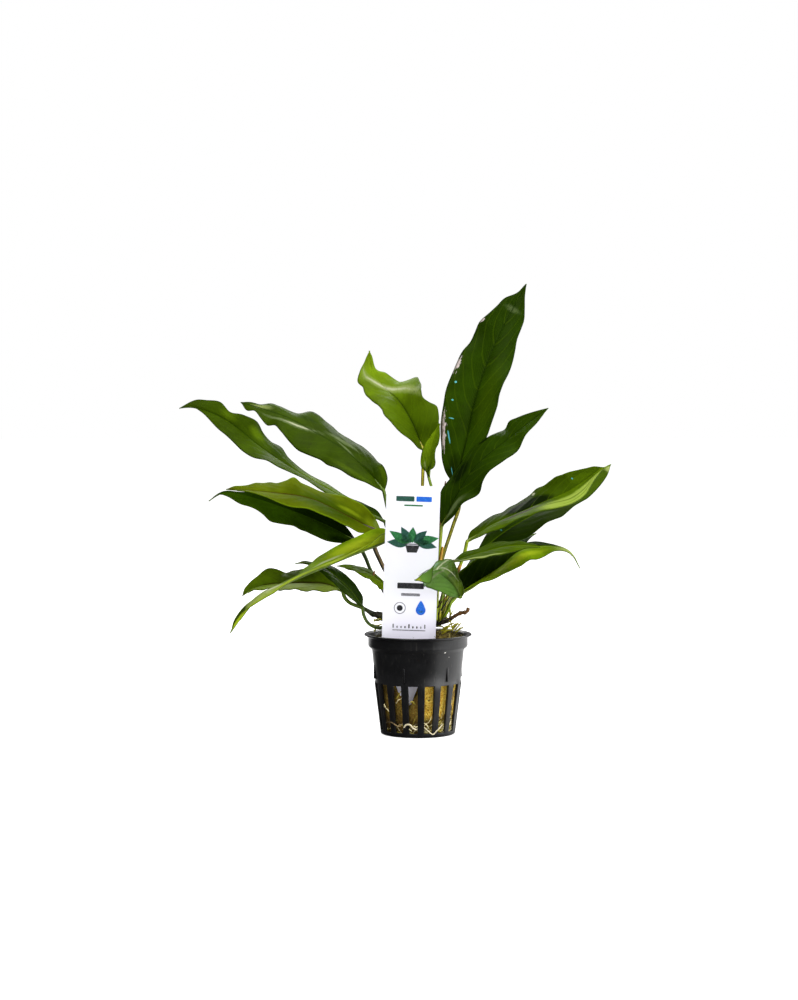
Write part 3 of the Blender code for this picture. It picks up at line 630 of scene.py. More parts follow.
# %% Shared effect: leaf veins
veins, takes, gives = shared_effect(
    "leaf_veins",
    [("Map", "place", (0, 0, 0)), ("Span", "place", (0, 0, 0)), ("Wander", "number", 0.0)],
    [("Midrib", "number"), ("Side veins", "number"), ("Fine veins", "number"), ("Height", "number"),
     ("Margin", "number"), ("Side", "number")])
parts = add_node(veins, "SeparateXYZ", {0: takes["Map"]})
real = add_node(veins, "SeparateXYZ", {0: takes["Span"]})
across = sums(veins, 'MULTIPLY_ADD', parts.outputs[1], 2.0, -1.0)
reach = sums(veins, 'ABSOLUTE', across)
bow = sums(veins, 'MULTIPLY', sums(veins, 'POWER', reach, 1.4), -VEIN_SLANT)
step = sums(veins, 'MULTIPLY_ADD', parts.outputs[0], float(SIDE_VEINS), bow)
step = sums(veins, 'ADD', step, takes["Wander"])
wide = sums(veins, 'FRACT', sums(veins, 'ADD', step, 0.5))
side_gap = sums(veins, 'ABSOLUTE', sums(veins, 'SUBTRACT', wide, 0.5))
side_line = remap(veins, side_gap, 0.015, 0.055, 1.0, 0.0)
narrow = sums(veins, 'FRACT', sums(veins, 'MULTIPLY', step, 7.0))
fine_gap = sums(veins, 'ABSOLUTE', sums(veins, 'SUBTRACT', narrow, 0.5))
fine_line = remap(veins, fine_gap, 0.0, 0.35, 1.0, 0.0)
rib_distance = sums(veins, 'ABSOLUTE', real.outputs[1])
rib = remap(veins, rib_distance, 0.2, 0.6, 1.0, 0.0)
height = sums(veins, 'MULTIPLY_ADD', fine_line, 0.25, sums(veins, 'MULTIPLY', side_line, -0.8))
masks = {"Midrib": rib, "Side veins": side_line, "Fine veins": fine_line, "Height": height,
         "Margin": remap(veins, reach, 0.9, 0.985), "Side": remap(veins, across, -0.04, 0.04)}
for label, value in masks.items():
    veins.links.new(value, gives[label])
print("vein nodes:", len(veins.nodes))

# %% [markdown]
# Parts of a leaf are lighter, more worn or differently lit than the rest: a yellow tip, a crust of lime left
# by hard water, and painted light, such as the highlight on a glossy ridge or the shade that one leaf casts
# on another. Each is a soft patch on the blade's own map, with a ragged edge from noise.

# %% Shared effects: soft patch and crumbs
patch, takes, gives = shared_effect(
    "soft_patch",
    [("Map", "place", (0, 0, 0)), ("Middle", "place", (0.5, 0.5, 0)), ("Reach", "place", (0.1, 0.1, 1)),
     ("Slant", "number", 0.0), ("Ragged", "number", 0.0), ("Softness", "number", 0.6)],
    [("Mask", "number")])
offset = add_node(patch, "VectorMath", {0: takes["Map"], 1: takes["Middle"]}, operation='SUBTRACT')
split = add_node(patch, "SeparateXYZ", {0: offset.outputs[0]})
leaned = sums(patch, 'MULTIPLY_ADD', split.outputs[0], takes["Slant"], split.outputs[1])
joined = add_node(patch, "CombineXYZ", {0: split.outputs[0], 1: leaned})
scaled = add_node(patch, "VectorMath", {0: joined.outputs[0], 1: takes["Reach"]}, operation='DIVIDE')
away = add_node(patch, "VectorMath", {0: scaled.outputs[0]}, operation='LENGTH')
grit = sums(patch, 'SUBTRACT', cloudy(patch, takes["Map"], 40.0, 5.0), 0.5)
rough_edge = sums(patch, 'MULTIPLY_ADD', grit, takes["Ragged"], away.outputs["Value"])
inner = sums(patch, 'SUBTRACT', 1.0, takes["Softness"])
mask = add_node(patch, "MapRange", {0: rough_edge, 1: inner, 2: 1.0, 3: 1.0, 4: 0.0},
                interpolation_type='SMOOTHSTEP')
patch.links.new(mask.outputs[0], gives["Mask"])

crumbs, takes, gives = shared_effect(
    "crumbs", [("Place", "place", (0, 0, 0)), ("Scale", "number", 900.0), ("Amount", "number", 0.3)],
    [("Mask", "number")])
cells = add_node(crumbs, "TexVoronoi", {"Vector": takes["Place"], "Scale": takes["Scale"]})
few = cloudy(crumbs, takes["Place"], 160.0)
dots = remap(crumbs, cells.outputs["Distance"], 0.15, 0.4, 1.0, 0.0)
spread = sums(crumbs, 'SUBTRACT', 1.0, takes["Amount"])
chosen = remap(crumbs, few, spread, sums(crumbs, 'ADD', spread, 0.08))
crumbs.links.new(sums(crumbs, 'MULTIPLY', dots, chosen), gives["Mask"])
print("patch nodes:", len(patch.nodes), "crumb nodes:", len(crumbs.nodes))

# %% [markdown]
# A leaf's finish joins all this. The side tones run from stalk to tip, the veins tint them, the patches lie
# on top, painted highlights and painted shade among them, and cloudy noise keeps any stretch from being flat.
# A part of the light goes through the blade by a Translucent shader beside the waxy Principled one, which is
# what makes the young leaves glow. No light comes through a dark patch, so painted shade doesn't glow.

# %% One leaf skin
DARK_TONES = {"ink", "deep", "bark", "dark"}
GREENISH_SHINE = (0.75, 1.0, 0.35, 1.0)
PLAIN_SOFTNESS = 0.75


def leaf_skin(name, tones, number, glow=0.3, wax=0.4, shine=0.12, vein_tone="fresh", vein_share=0.14,
              patches=(), rib_tone=None, rib_end=0.99, edge_tone="deep", fleck_tone="bark", fleck_share=0.35):
    """tones: left near stalk, left near tip, right near stalk, right near tip."""
    finish, tree, here = new_finish(name)
    blade_map = add_node(tree, "UVMap", uv_map="blade").outputs[0]
    span = add_node(tree, "Attribute", attribute_name="span").outputs["Vector"]
    cloud = cloudy(tree, here, 70.0, 3.0, 0.6)
    wander = sums(tree, 'MULTIPLY_ADD', cloud, 0.5, 0.25 * math.sin(number) - 0.25)
    lines = use_effect(tree, veins, Map=blade_map, Span=span, Wander=wander)
    length = add_node(tree, "SeparateXYZ", {0: blade_map}).outputs[0]
    run = remap(tree, length, 0.1, 0.95)
    left, left_tip, right, right_tip = [rgba(TONES[t]) for t in tones]
    left_side = blend_colours(tree, run, left, left_tip)
    right_side = blend_colours(tree, run, right, right_tip)
    colour = blend_colours(tree, lines["Side"], right_side, left_side)
    mottle = remap(tree, cloud, 0.25, 0.75, 0.72, 1.28)
    mottled = add_node(tree, "CombineColor", {0: mottle, 1: mottle, 2: mottle})
    colour = blend_colours(tree, 1.0, colour, mottled.outputs[0], 'MULTIPLY')
    streak = sums(tree, 'MULTIPLY', lines["Fine veins"], vein_share * 0.4)
    colour = blend_colours(tree, streak, colour, rgba(TONES[vein_tone]))
    thin_share = glow
    for middle, reach, slant, tone, strength, ragged, *soft in patches:
        spot = use_effect(tree, patch, Map=blade_map, Middle=(*middle, 0), Reach=(*reach, 1), Slant=slant,
                          Ragged=ragged, Softness=soft[0] if soft else PLAIN_SOFTNESS)
        share = sums(tree, 'MULTIPLY', spot["Mask"], strength)
        colour = blend_colours(tree, share, colour, rgba(TONES[tone]))
        if tone in DARK_TONES:
            thin_share = sums(tree, 'MULTIPLY', sums(tree, 'SUBTRACT', 1.0, share), thin_share)
    rib_reach = remap(tree, length, rib_end, rib_end + 0.15, 0.8, 0.0)
    flecks = use_effect(tree, crumbs, Place=here, Scale=700.0, Amount=0.36)["Mask"]
    layers = [(lines["Margin"], 0.65, edge_tone), (lines["Side veins"], vein_share, vein_tone),
              (lines["Midrib"], rib_reach, rib_tone or vein_tone), (flecks, fleck_share, fleck_tone)]
    for mask, strength, tone in layers:
        colour = blend_colours(tree, sums(tree, 'MULTIPLY', mask, strength), colour, rgba(TONES[tone]))
    skin = sums(tree, 'MULTIPLY_ADD', cloudy(tree, here, 2600.0), 0.12, lines["Height"])
    bump = add_node(tree, "Bump", {"Height": skin, "Strength": 0.2, "Distance": 0.25 * MM}).outputs[0]
    rough = remap(tree, cloud, 0.3, 0.7, wax - 0.07, wax + 0.09)
    shader = plug_in(tree, colour, rough, bump, shine)
    shader.inputs["Specular Tint"].default_value = GREENISH_SHINE
    through = blend_colours(tree, 0.5, colour, rgba(TONES["bright"]))
    thin = add_node(tree, "BsdfTranslucent", {"Color": through, "Normal": bump})
    both = add_node(tree, "MixShader", {0: thin_share, 1: shader.outputs[0], 2: thin.outputs[0]})
    tree.links.new(both.outputs[0], tree.nodes["Material Output"].inputs["Surface"])
    return finish


# %% [markdown]
# This table gives each leaf its tones, read from the plant: old leaves deep green, young ones bright, painted
# light where the skin shines or the thin blade is lit through from behind, and painted shade where one leaf
# shades another or a blade folds. A patch is (middle, reach, slant, tone, strength, raggedness and, where
# given, softness) on the blade's map, where the middle's second number is 0 at the right margin and 1 at the
# left.

# %% The finish of each leaf
LEAF_FINISH = {
    "01_far_left": dict(
        tones=("mid", "moss", "moss", "moss"), shine=0.05, rib_tone="dark",
        patches=[
            ((0.3, 0.4), (0.2, 0.35), 0, "fresh", 0.8, 0.4),
            # The grey patch below is a painted sheen.
            ((0.45, 0.7), (0.14, 0.1), 0.8, "grey", 0.4, 0.6),
            ((0.66, 0.26), (0.06, 0.2), 0.6, "fresh", 0.8, 0.6),
            ((0.8, 0.3), (0.05, 0.3), 0.6, "fresh", 0.6, 0.6),
            ((0.54, 0.3), (0.05, 0.25), 0.6, "deep", 0.5, 0.5),
            ((0.1, 0.0), (0.17, 0.36), 0, "deep", 0.95, 0.2, 0.4)]),
    "02_upper_left": dict(
        tones=("moss", "moss", "moss", "moss"), shine=0.06, rib_tone="dark", fleck_share=0.5,
        patches=[
            # The grey and cream streaks in the next four patches are a painted sheen along the blade.
            ((0.68, 0.62), (0.24, 0.08), -0.86, "grey", 0.9, 0.9),
            ((0.64, 0.58), (0.12, 0.03), -0.86, "cream", 0.8, 1.0),
            ((0.38, 0.33), (0.14, 0.07), -0.3, "grey", 0.8, 0.9),
            ((0.34, 0.45), (0.1, 0.03), 0.5, "grey", 0.8, 0.6),
            ((0.88, 0.35), (0.08, 0.2), 0, "pale", 0.6, 0.5),
            ((0.62, 0.28), (0.1, 0.1), 0, "deep", 0.6, 0.4),
            ((0.08, 0.12), (0.08, 0.14), 0, "fresh", 0.5, 0.4),
            ((0.12, 0.3), (0.1, 0.3), 0, "deep", 0.6, 0.4),
            ((0.2, 0.85), (0.2, 0.1), 0, "fresh", 0.5, 0.4)]),
    "03_mid_left": dict(
        tones=("ripe", "ripe", "ripe", "ripe"), glow=0.3, rib_tone="brown", shine=0.015, edge_tone="bright",
        patches=[
            ((0.06, 0.3), (0.06, 0.3), 0, "lime", 0.5, 0.3),
            ((0.35, 0.6), (0.34, 0.6), 0, "moss", 0.9, 0.4),
            ((0.02, 0.05), (0.06, 0.25), 0, "celery", 0.7, 0.3, 0.4),
            ((0.5, 0.5), (0.6, 0.025), 0, "brown", 0.6, 0.2, 0.5),
            ((0.2, 0.35), (0.12, 0.08), 0, "lime", 0.4, 0.5)]),
    # Leaf 04 lies in leaf 03's shade: its dark tones and its ink patches are painted shade.
    "04_under_left": dict(
        tones=("dark", "dark", "ink", "deep"), glow=0.06, shine=0.0, vein_tone="dark", edge_tone="moss",
        patches=[
            ((0.2, 0.3), (0.4, 0.5), 0, "ink", 0.95, 0.2),
            ((0.12, 0.85), (0.1, 0.2), 0, "ink", 0.8, 0.3)]),
    # Leaf 05: its cream patches are painted highlights, and its moss patch at (0.6, 0.1) painted shade where
    # the blade folds.
    "05_front_left": dict(
        tones=("lime", "lime", "bright", "fresh"), glow=0.4, shine=0.02, vein_tone="lime", vein_share=0.1,
        edge_tone="bright", rib_tone="lime",
        patches=[
            ((0.4, 0.4), (0.12, 0.05), 0.3, "cream", 0.5, 0.3),
            ((0.2, 0.3), (0.25, 0.25), 0, "gilt", 0.7, 0.3),
            ((0.78, 0.5), (0.14, 0.6), 0, "pale", 0.7, 0.3, 0.5),
            ((0.6, 0.1), (0.14, 0.4), 0.3, "moss", 0.5, 0.3, 0.8),
            ((0.56, 0.62), (0.12, 0.06), 0, "cream", 0.6, 0.3, 0.6),
            ((0.71, 0.5), (0.06, 0.2), 0, "cream", 0.8, 0.4, 0.6),
            ((0.91, 0.1), (0.07, 0.55), 0, "deep", 0.95, 0.2, 0.4),
            ((1.0, 0.5), (0.07, 1.0), 0, "moss", 0.9, 0.2, 0.5)]),
    "06_low_left": dict(
        tones=("celery", "bright", "fresh", "fresh"), glow=0.3, rib_tone="brown", wax=0.5, shine=0.06,
        edge_tone="moss", vein_share=0.35, vein_tone="brown",
        patches=[
            ((0.35, 0.25), (0.16, 0.25), 0, "moss", 0.6, 0.4),
            ((0.3, 0.8), (0.4, 0.28), 0, "celery", 0.75, 0.5),
            ((0.5, 0.5), (0.6, 0.06), 0, "brown", 0.85, 0.4, 0.6)]),
    "07_low_inner_left": dict(
        tones=("dark", "dark", "deep", "dark"), glow=0.12, wax=0.32, shine=0.05, vein_tone="dark",
        rib_tone="mid",
        patches=[
            # The grey line below is a painted sheen.
            ((0.45, 0.72), (0.3, 0.04), -0.1, "grey", 0.4, 0.3),
            ((0.2, 0.9), (0.15, 0.1), 0, "moss", 0.6, 0.4),
            ((0.95, 0.5), (0.1, 1.0), 0, "bark", 0.9, 0.2)]),
    "08_back_left": dict(
        tones=("bright", "fresh", "fresh", "fresh"), glow=0.35, shine=0.05, edge_tone="bright",
        vein_share=0.08,
        patches=[
            ((0.5, 0.5), (0.6, 0.12), 0, "moss", 0.35, 0.3)]),
    "09_top_left": dict(
        tones=("mid", "bright", "mid", "bright"), glow=0.4, rib_tone="deep", shine=0.08, rib_end=0.55,
        edge_tone="mid", vein_tone="bright", vein_share=0.3, fleck_share=0.5,
        patches=[
            # The pale and cream band in the next two patches is a painted sheen on a glossy ridge, and the
            # dark stripe after them painted shade beside the midrib.
            ((0.62, 0.45), (0.34, 0.16), -1.78, "pale", 0.9, 0.5),
            ((0.66, 0.52), (0.24, 0.06), -1.78, "cream", 0.8, 0.7),
            ((0.3, 0.5), (0.34, 0.08), 0, "dark", 0.25, 0.3),
            ((0.04, 0.5), (0.12, 0.6), 0, "fresh", 0.6, 0.3),
            ((0.35, 0.8), (0.25, 0.2), 0, "fresh", 0.6, 0.4)]),
    "10_young_centre": dict(
        tones=("mid", "fresh", "fresh", "bright"), glow=0.35, shine=0.05,
        patches=[
            ((0.2, 0.3), (0.12, 0.12), 0, "pale", 0.6, 0.4),
            ((0.15, 0.7), (0.2, 0.2), 0, "deep", 0.8, 0.3)]),
    "11_tall_right": dict(
        tones=("dark", "deep", "dark", "deep"), glow=0.08, vein_tone="mid", shine=0.03, vein_share=0.32,
        rib_tone="deep", fleck_share=0.3,
        patches=[
            ((0.87, 0.5), (0.02, 0.4), 0.3, "grey", 0.3, 1.2),
            ((0.42, 0.25), (0.25, 0.25), 0, "moss", 0.5, 0.5),
            ((0.06, 0.7), (0.12, 0.2), 0, "ink", 0.7, 0.4),
            ((0.23, 0.97), (0.09, 0.06), 0, "lime crust", 1.0, 3.0, 0.3),
            ((0.24, 0.98), (0.07, 0.03), 0, "brown", 0.7, 3.5, 0.3),
            ((0.54, 0.98), (0.04, 0.05), 0, "lime crust", 0.9, 3.0, 0.3),
            ((0.76, 0.98), (0.015, 0.03), 0, "lime crust", 0.9, 1.5, 0.3),
            ((0.46, 0.89), (0.006, 0.022), 0, "glint", 1, 0.3, 0.3),
            ((0.38, 0.87), (0.004, 0.02), 0, "glint", 1, 0.3, 0.3),
            ((0.3, 0.84), (0.003, 0.05), 0, "glint", 0.9, 0.6, 0.3),
            ((0.21, 0.85), (0.03, 0.016), -1, "glint", 1, 1.5, 0.3),
            ((0.06, 0.76), (0.02, 0.015), -1, "glint", 1, 1.5, 0.3)]),
    "12_front_of_tall": dict(
        tones=("deep", "dark", "deep", "dark"), glow=0.08, vein_tone="mid", shine=0.03, rib_tone="deep",
        vein_share=0.35,
        patches=[
            # The grey patch is a painted sheen, and the ink patch after it painted shadow where the upper
            # edge overlaps leaf 11.
            ((0.14, 0.25), (0.14, 0.16), 0.6, "grey", 0.5, 0.5),
            ((0.34, 0.78), (0.1, 0.2), 0, "ink", 0.97, 0.3, 0.5),
            ((0.56, 0.97), (0.05, 0.1), 0, "ink", 0.9, 0.3, 0.5)]),
    "13_upper_right": dict(
        tones=("moss", "moss", "mid", "mid"), glow=0.15, shine=0.015, edge_tone="mid", vein_tone="fresh",
        vein_share=0.3,
        patches=[
            # The ink patch is painted shade in the trough of the folded blade, the celery strip a painted
            # sheen on its near half, and the cream spot a painted highlight.
            ((0.46, 0.62), (0.2, 0.24), 0.5, "ink", 0.97, 0.2, 0.4),
            ((0.85, 0.7), (0.1, 0.2), 0, "mid", 0.6, 0.4),
            ((0.38, 0.3), (0.17, 0.1), 0, "bark", 0.85, 0.4, 0.5),
            ((0.75, 0.12), (0.3, 0.26), 0, "celery", 0.85, 0.25, 0.4),
            ((0.72, 0.2), (0.3, 0.03), 0.1, "moss", 0.6, 0.5, 0.6),
            ((0.78, 0.1), (0.2, 0.02), -0.1, "fresh", 0.6, 0.5, 0.6),
            ((0.52, 0.9), (0.015, 0.06), 0, "cream", 0.9, 0.5, 0.5),
            ((0.79, 0.8), (0.005, 0.03), 0, "glint", 0.9, 0.4, 0.4)]),
    "14_back_right": dict(
        tones=("dark", "dark", "deep", "moss"), glow=0.1, shine=0.05, fleck_tone="grey",
        patches=[
            ((0.97, 0.5), (0.03, 1), 0, "pale", 0.8, 0.3),
            ((0.22, 0.6), (0.006, 0.05), 0, "glint", 0.7, 0.5)]),
    "15_front_right": dict(
        tones=("moss", "moss", "moss", "mid"), glow=0.12, shine=0.01, edge_tone="mid",
        patches=[
            # The pale strip is a painted sheen on the near half.
            ((0.3, 0.05), (0.4, 0.06), 0, "pale", 0.7, 0.3, 0.4),
            ((0.1, 0.6), (0.16, 0.3), 0, "dark", 0.6, 0.3)]),
    # Leaf 16: its dark left tones are painted shade under leaf 15, and its bright right tones and gilt patch
    # painted light coming through the blade.
    "16_low_right": dict(
        tones=("ink", "deep", "bright", "fresh"), glow=0.2, shine=0.005, edge_tone="mid", fleck_tone="grey",
        patches=[
            ((0.92, 0.5), (0.16, 1.2), 0, "pale", 0.7, 0.1),
            ((0.45, 0.22), (0.35, 0.16), 0, "gilt", 0.55, 0.3)]),
    "17_over_label": dict(
        tones=("mid", "jade", "jade", "jade"), glow=0.25, wax=0.25, shine=0.16, vein_tone="moss",
        vein_share=0.3, edge_tone="dark", rib_end=0.3, rib_tone="moss",
        patches=[
            # The grey, cream and bluish sheen patches are painted highlights on the glossy skin.
            ((0.5, 0.3), (0.03, 0.5), 0, "grey", 0.9, 0.6, 0.5),
            ((0.62, 0.75), (0.03, 0.4), 0.6, "cream", 0.8, 0.8, 0.5),
            ((0.78, 0.8), (0.09, 0.2), 0, "blue sheen", 0.9, 0.8, 0.5),
            ((0.35, 0.7), (0.05, 0.3), 0, "deep", 0.7, 0.6, 0.5),
            ((0.72, 0.4), (0.05, 0.16), 0, "dark", 0.8, 1.0, 0.5),
            ((0.7, 0.0), (0.25, 0.06), 0, "blue sheen", 0.9, 0.3, 0.4),
            ((0.3, 0.45), (0.25, 0.03), 0.3, "deep", 0.6, 0.6, 0.5),
            ((0.45, 0.62), (0.3, 0.02), 0.5, "cream", 0.6, 0.8, 0.5),
            ((0.97, 0.5), (0.04, 1), 0, "straw", 0.8, 0.1)]),
    "18_hidden_right": dict(tones=("ink", "deep", "deep", "deep"), glow=0.1, shine=0.04),
}
UNDERSIDE = {"ink": "deep", "deep": "dark", "dark": "moss", "moss": "mid", "mid": "fresh", "fresh": "bright",
             "ripe": "fresh"}
UNDER_PATCHES = {
    # On leaf 05's underside the first moss patch is painted shade where the blade folds and the cream patch a
    # painted highlight; on leaf 17's the bluish sheen patch is a painted highlight.
    "05_front_left": [((0.6, 0.2), (0.14, 0.4), 0.3, "moss", 0.7, 0.3, 0.8),
                      ((0.9, 0.0), (0.14, 0.5), 0, "moss", 0.8, 0.2, 0.5),
                      ((0.62, 0.9), (0.2, 0.2), 0, "cream", 0.6, 0.2)],
    "17_over_label": [((0.78, 0.6), (0.06, 0.3), 0, "blue sheen", 0.5, 0.8, 0.5),
                      ((0.97, 0.5), (0.04, 1), 0, "straw", 0.8, 0.1)],
}

for number, leaf in enumerate(LEAVES):
    name = leaf["name"]
    facts = LEAF_FINISH[name]
    top = leaf_skin("leaf_top_" + name, number=number, **facts)
    undertones = [UNDERSIDE.get(tone, tone) for tone in facts["tones"]]
    below = leaf_skin("leaf_underside_" + name, undertones, number, glow=facts.get("glow", 0.25), wax=0.55,
                      vein_share=0.35, patches=UNDER_PATCHES.get(name, ()))
    grow_blade(leaf, number, [below, top] if name in SHOWS_UNDERSIDE else [top, below])
print("blades grown:", len(LEAVES))

# %% [markdown]
# Stalks, roots and the creeping stem are all tubes of changing thickness. One helper grows them: a circle is
# extruded ring by ring along a path, and each ring turns with the path without twisting. It keeps the
# distance along and the angle round as a note for the material, and can push its places out or in as knobs
# and wrinkles.

# %% Grow a tube along a path
def grow_tube(bm, path, radii, sides=10, knobs=None):
    """path and radii in mm. knobs(distance, angle) gives an extra radius there."""
    span = bm.verts.layers.float_vector.get("span") or bm.verts.layers.float_vector.new("span")
    path = np.asarray(path, float)
    run = np.concatenate([[0], np.cumsum(np.linalg.norm(np.diff(path, axis=0), axis=1))])
    ring = bmesh.ops.create_circle(bm, cap_ends=True, radius=1, segments=sides)["verts"]
    edges = list({edge for vert in ring for edge in vert.link_edges})
    side = None
    for k, centre in enumerate(path):
        ahead = path[min(k + 1, len(path) - 1)] - path[max(k - 1, 0)]
        ahead /= np.linalg.norm(ahead)
        if side is None:
            side = np.cross(ahead, [0.3, 1, 0.2])
        side = side - ahead * (side @ ahead)
        side /= np.linalg.norm(side)
        up = np.cross(ahead, side)
        if k > 0:
            grown = bmesh.ops.extrude_edge_only(bm, edges=edges)["geom"]
            ring = [item for item in grown if isinstance(item, bmesh.types.BMVert)]
            edges = [item for item in grown if isinstance(item, bmesh.types.BMEdge)
                     and item.verts[0] in ring and item.verts[1] in ring]
        for vert in ring:
            angle = vert[span].y if k > 0 else math.atan2(vert.co.y, vert.co.x)
            size = radii[k] + (knobs(run[k], angle) if knobs else 0)
            vert.co = (centre + (side * math.cos(angle) + up * math.sin(angle)) * size) * MM
            vert[span] = (run[k], angle, k / (len(path) - 1))
    bmesh.ops.contextual_create(bm, geom=edges)


def smooth_path(points, count):
    """count points along a smooth curve, an equal length apart."""
    line, _ = even_steps(points, count - 1)
    return line


def swell(stops, count):
    """count radii along a smooth curve through evenly spaced ones."""
    return [along(stops, k / (count - 1)) for k in range(count)]


print("a ring's radii:", [round(r, 2) for r in swell([1.2, 0.9, 0.8], 5)])

# %% [markdown]
# Stalks are round, finely ribbed lengthwise, and change colour from rusty at the foot to green near the
# blade. One shared group gives the ribs and the change along the length from the tube's note, and paints
# shade on one flank of the stalk by the angle round it.

# %% Shared effect: stalk skin, and the finishes that use it
strands, takes, gives = shared_effect(
    "strands", [("Span", "place", (0, 0, 0)), ("Place", "place", (0, 0, 0)), ("Ribs", "number", 9.0),
                ("Foot", "colour", (0, 0, 0, 1)), ("Middle", "colour", (0, 0, 0, 1)),
                ("Top", "colour", (0, 0, 0, 1)), ("Dirt", "colour", (0, 0, 0, 1)), ("Dirty", "number", 0.3),
                ("Dark flank", "number", 0.0)],
    [("Colour", "colour"), ("Height", "number")])
note = add_node(strands, "SeparateXYZ", {0: takes["Span"]})
rib_wave = sums(strands, 'SINE', sums(strands, 'MULTIPLY', note.outputs[1], takes["Ribs"]))
stretch = add_node(strands, "VectorMath", {0: takes["Place"], 1: (900, 900, 160)}, operation='MULTIPLY')
fibre = cloudy(strands, stretch.outputs[0], 1.0, 3.0)
low = blend_colours(strands, remap(strands, note.outputs[2], 0.0, 0.3), takes["Foot"], takes["Middle"])
high = blend_colours(strands, remap(strands, note.outputs[2], 0.35, 0.75), low, takes["Top"])
dirt = sums(strands, 'MULTIPLY', remap(strands, fibre, 0.45, 0.7), takes["Dirty"])
# The flank mask paints shade down one side of the stalk, by the angle round it, in the dirt tone.
flank = sums(strands, 'MULTIPLY', remap(strands, sums(strands, 'COSINE', note.outputs[1]), -0.45, 0.3),
             takes["Dark flank"])
spotted = blend_colours(strands, dirt, high, takes["Dirt"])
strands.links.new(blend_colours(strands, flank, spotted, takes["Dirt"]), gives["Colour"])
strands.links.new(sums(strands, 'MULTIPLY_ADD', rib_wave, 0.3, fibre), gives["Height"])


def stalk_skin(name, foot, middle, top, dirt, dirty=0.35, wax=0.4, ribs=9.0, deep=0.5, flank=0.0):
    finish, tree, here = new_finish(name)
    span = add_node(tree, "Attribute", attribute_name="span").outputs["Vector"]
    skin = use_effect(tree, strands, Span=span, Place=here, Ribs=ribs, Foot=rgba(TONES[foot]),
                      Middle=rgba(TONES[middle]), Top=rgba(TONES[top]), Dirt=rgba(TONES[dirt]), Dirty=dirty,
                      Dark_flank=flank)
    bump = add_node(tree, "Bump", {"Height": skin["Height"], "Strength": deep, "Distance": 0.15 * MM})
    rough = remap(tree, skin["Height"], 0.2, 1.0, wax - 0.06, wax + 0.1)
    plug_in(tree, skin["Colour"], rough, bump.outputs[0], 0.4)
    return finish


TONES.update({"olive": (0.06, 0.075, 0.004), "gold": (0.36, 0.33, 0.01), "acid": (0.36, 0.45, 0.008),
              "soot": (0.008, 0.007, 0.004), "root": (0.7, 0.62, 0.42), "young root": (0.85, 0.76, 0.42),
              "tan": (0.25, 0.17, 0.07), "amber": (0.62, 0.32, 0.012), "copper": (0.15, 0.065, 0.012)})
print("stalk group nodes:", len(strands.nodes))

# %% [markdown]
# The creeping stem lies on the wool. It is knobbly, with a ring at each old leaf scar, and dark olive brown.
# Its right end shows beside the tag, and its left end is a blunt cut block.

# %% Creeping stem
RHIZOME = [(-23, 0.3, 61.2, 1.6), (-19.5, 0.4, 60.2, 2.6), (-14, 0.6, 58.2, 3.4), (-8, 1, 57.2, 3.9),
           (0, 1, 57, 4.1), (7, 1, 57.4, 4.0), (12.5, 1, 58.5, 3.0)]


def scars(distance, angle):
    ring = 0.28 * max(0, math.cos(distance * math.tau / 3.4)) ** 3
    return ring + 0.22 * math.sin(3 * angle + distance) + 0.15 * math.sin(5 * angle - 1.7 * distance)


bm = bmesh.new()
stem_line = smooth_path([row[:3] for row in RHIZOME], 60)
grow_tube(bm, stem_line, [r - 0.35 for r in swell([row[3] for row in RHIZOME], 60)], 20, scars)
stem_skin = stalk_skin("creeping_stem_skin", "bark", "olive", "bark", "soot", 0.7, 0.6, 5.0, 1.0)
rhizome = finish_piece("creeping_stem", bm, [stem_skin], ["rhizome"])
print("creeping stem (mm):", [round(x / MM) for x in rhizome.dimensions])

# %% [markdown]
# Each stalk grows out of the creeping stem with a slightly clasping foot, thickens again just below its
# blade, and then runs on under the blade as its midrib, ever thinner. It is one tube from end to end.

# %% Grow the stalks
STALK_RADIUS = 0.9
STALK_SIZES = {"03_mid_left": 1.3, "06_low_left": 1.15, "11_tall_right": 1.1, "04_under_left": 1.1,
               "10_young_centre": 0.8, "08_back_left": 0.7}
STALK_TONES = {
    # name: foot, middle, top, and the tone of dirt and of the painted shade on one flank
    "01_far_left": ("olive", "mid", "mid", "dark"),
    "02_upper_left": ("olive", "fresh", "fresh", "dark"),
    "03_mid_left": ("bark", "tan", "bark", "soot"),
    "04_under_left": ("mid", "mid", "mid", "deep"),
    "06_low_left": ("bark", "fresh", "fresh", "dark"),
    "07_low_inner_left": ("olive", "fresh", "mid", "deep"),
    "09_top_left": ("gold", "gold", "gold", "brown"),
    "10_young_centre": ("acid", "bright", "bright", "mid"),
    "11_tall_right": ("amber", "gold", "olive", "soot"),
    "12_front_of_tall": ("rust", "acid", "fresh", "olive"),
    "13_upper_right": ("rust", "acid", "acid", "mid"),
    "14_back_right": ("acid", "mid", "dark", "soot"),
    "15_front_right": ("acid", "acid", "fresh", "bark"),
    "16_low_right": ("acid", "acid", "mid", "bark"),
    "17_over_label": ("acid", "bright", "fresh", "deep"),
    "18_hidden_right": ("gold", "olive", "dark", "soot"),
}
# How strong the painted shade on one flank of a stalk is, and a way round the tag for the one stalk that
# needs it.
SHADED_FLANKS = {"03_mid_left": 1.0, "11_tall_right": 1.0, "10_young_centre": 0.5}
STALK_DETOURS = {"17_over_label": [(10.5, -4, 57.5), (13.5, -8, 61), (15.6, -9.6, 65.2), (17.2, -10.5, 69.2),
                                   (19.4, -11.5, 71.2)]}
STALK_STEPS = 46
RIB_STEPS = 39
RIB_END = 0.93


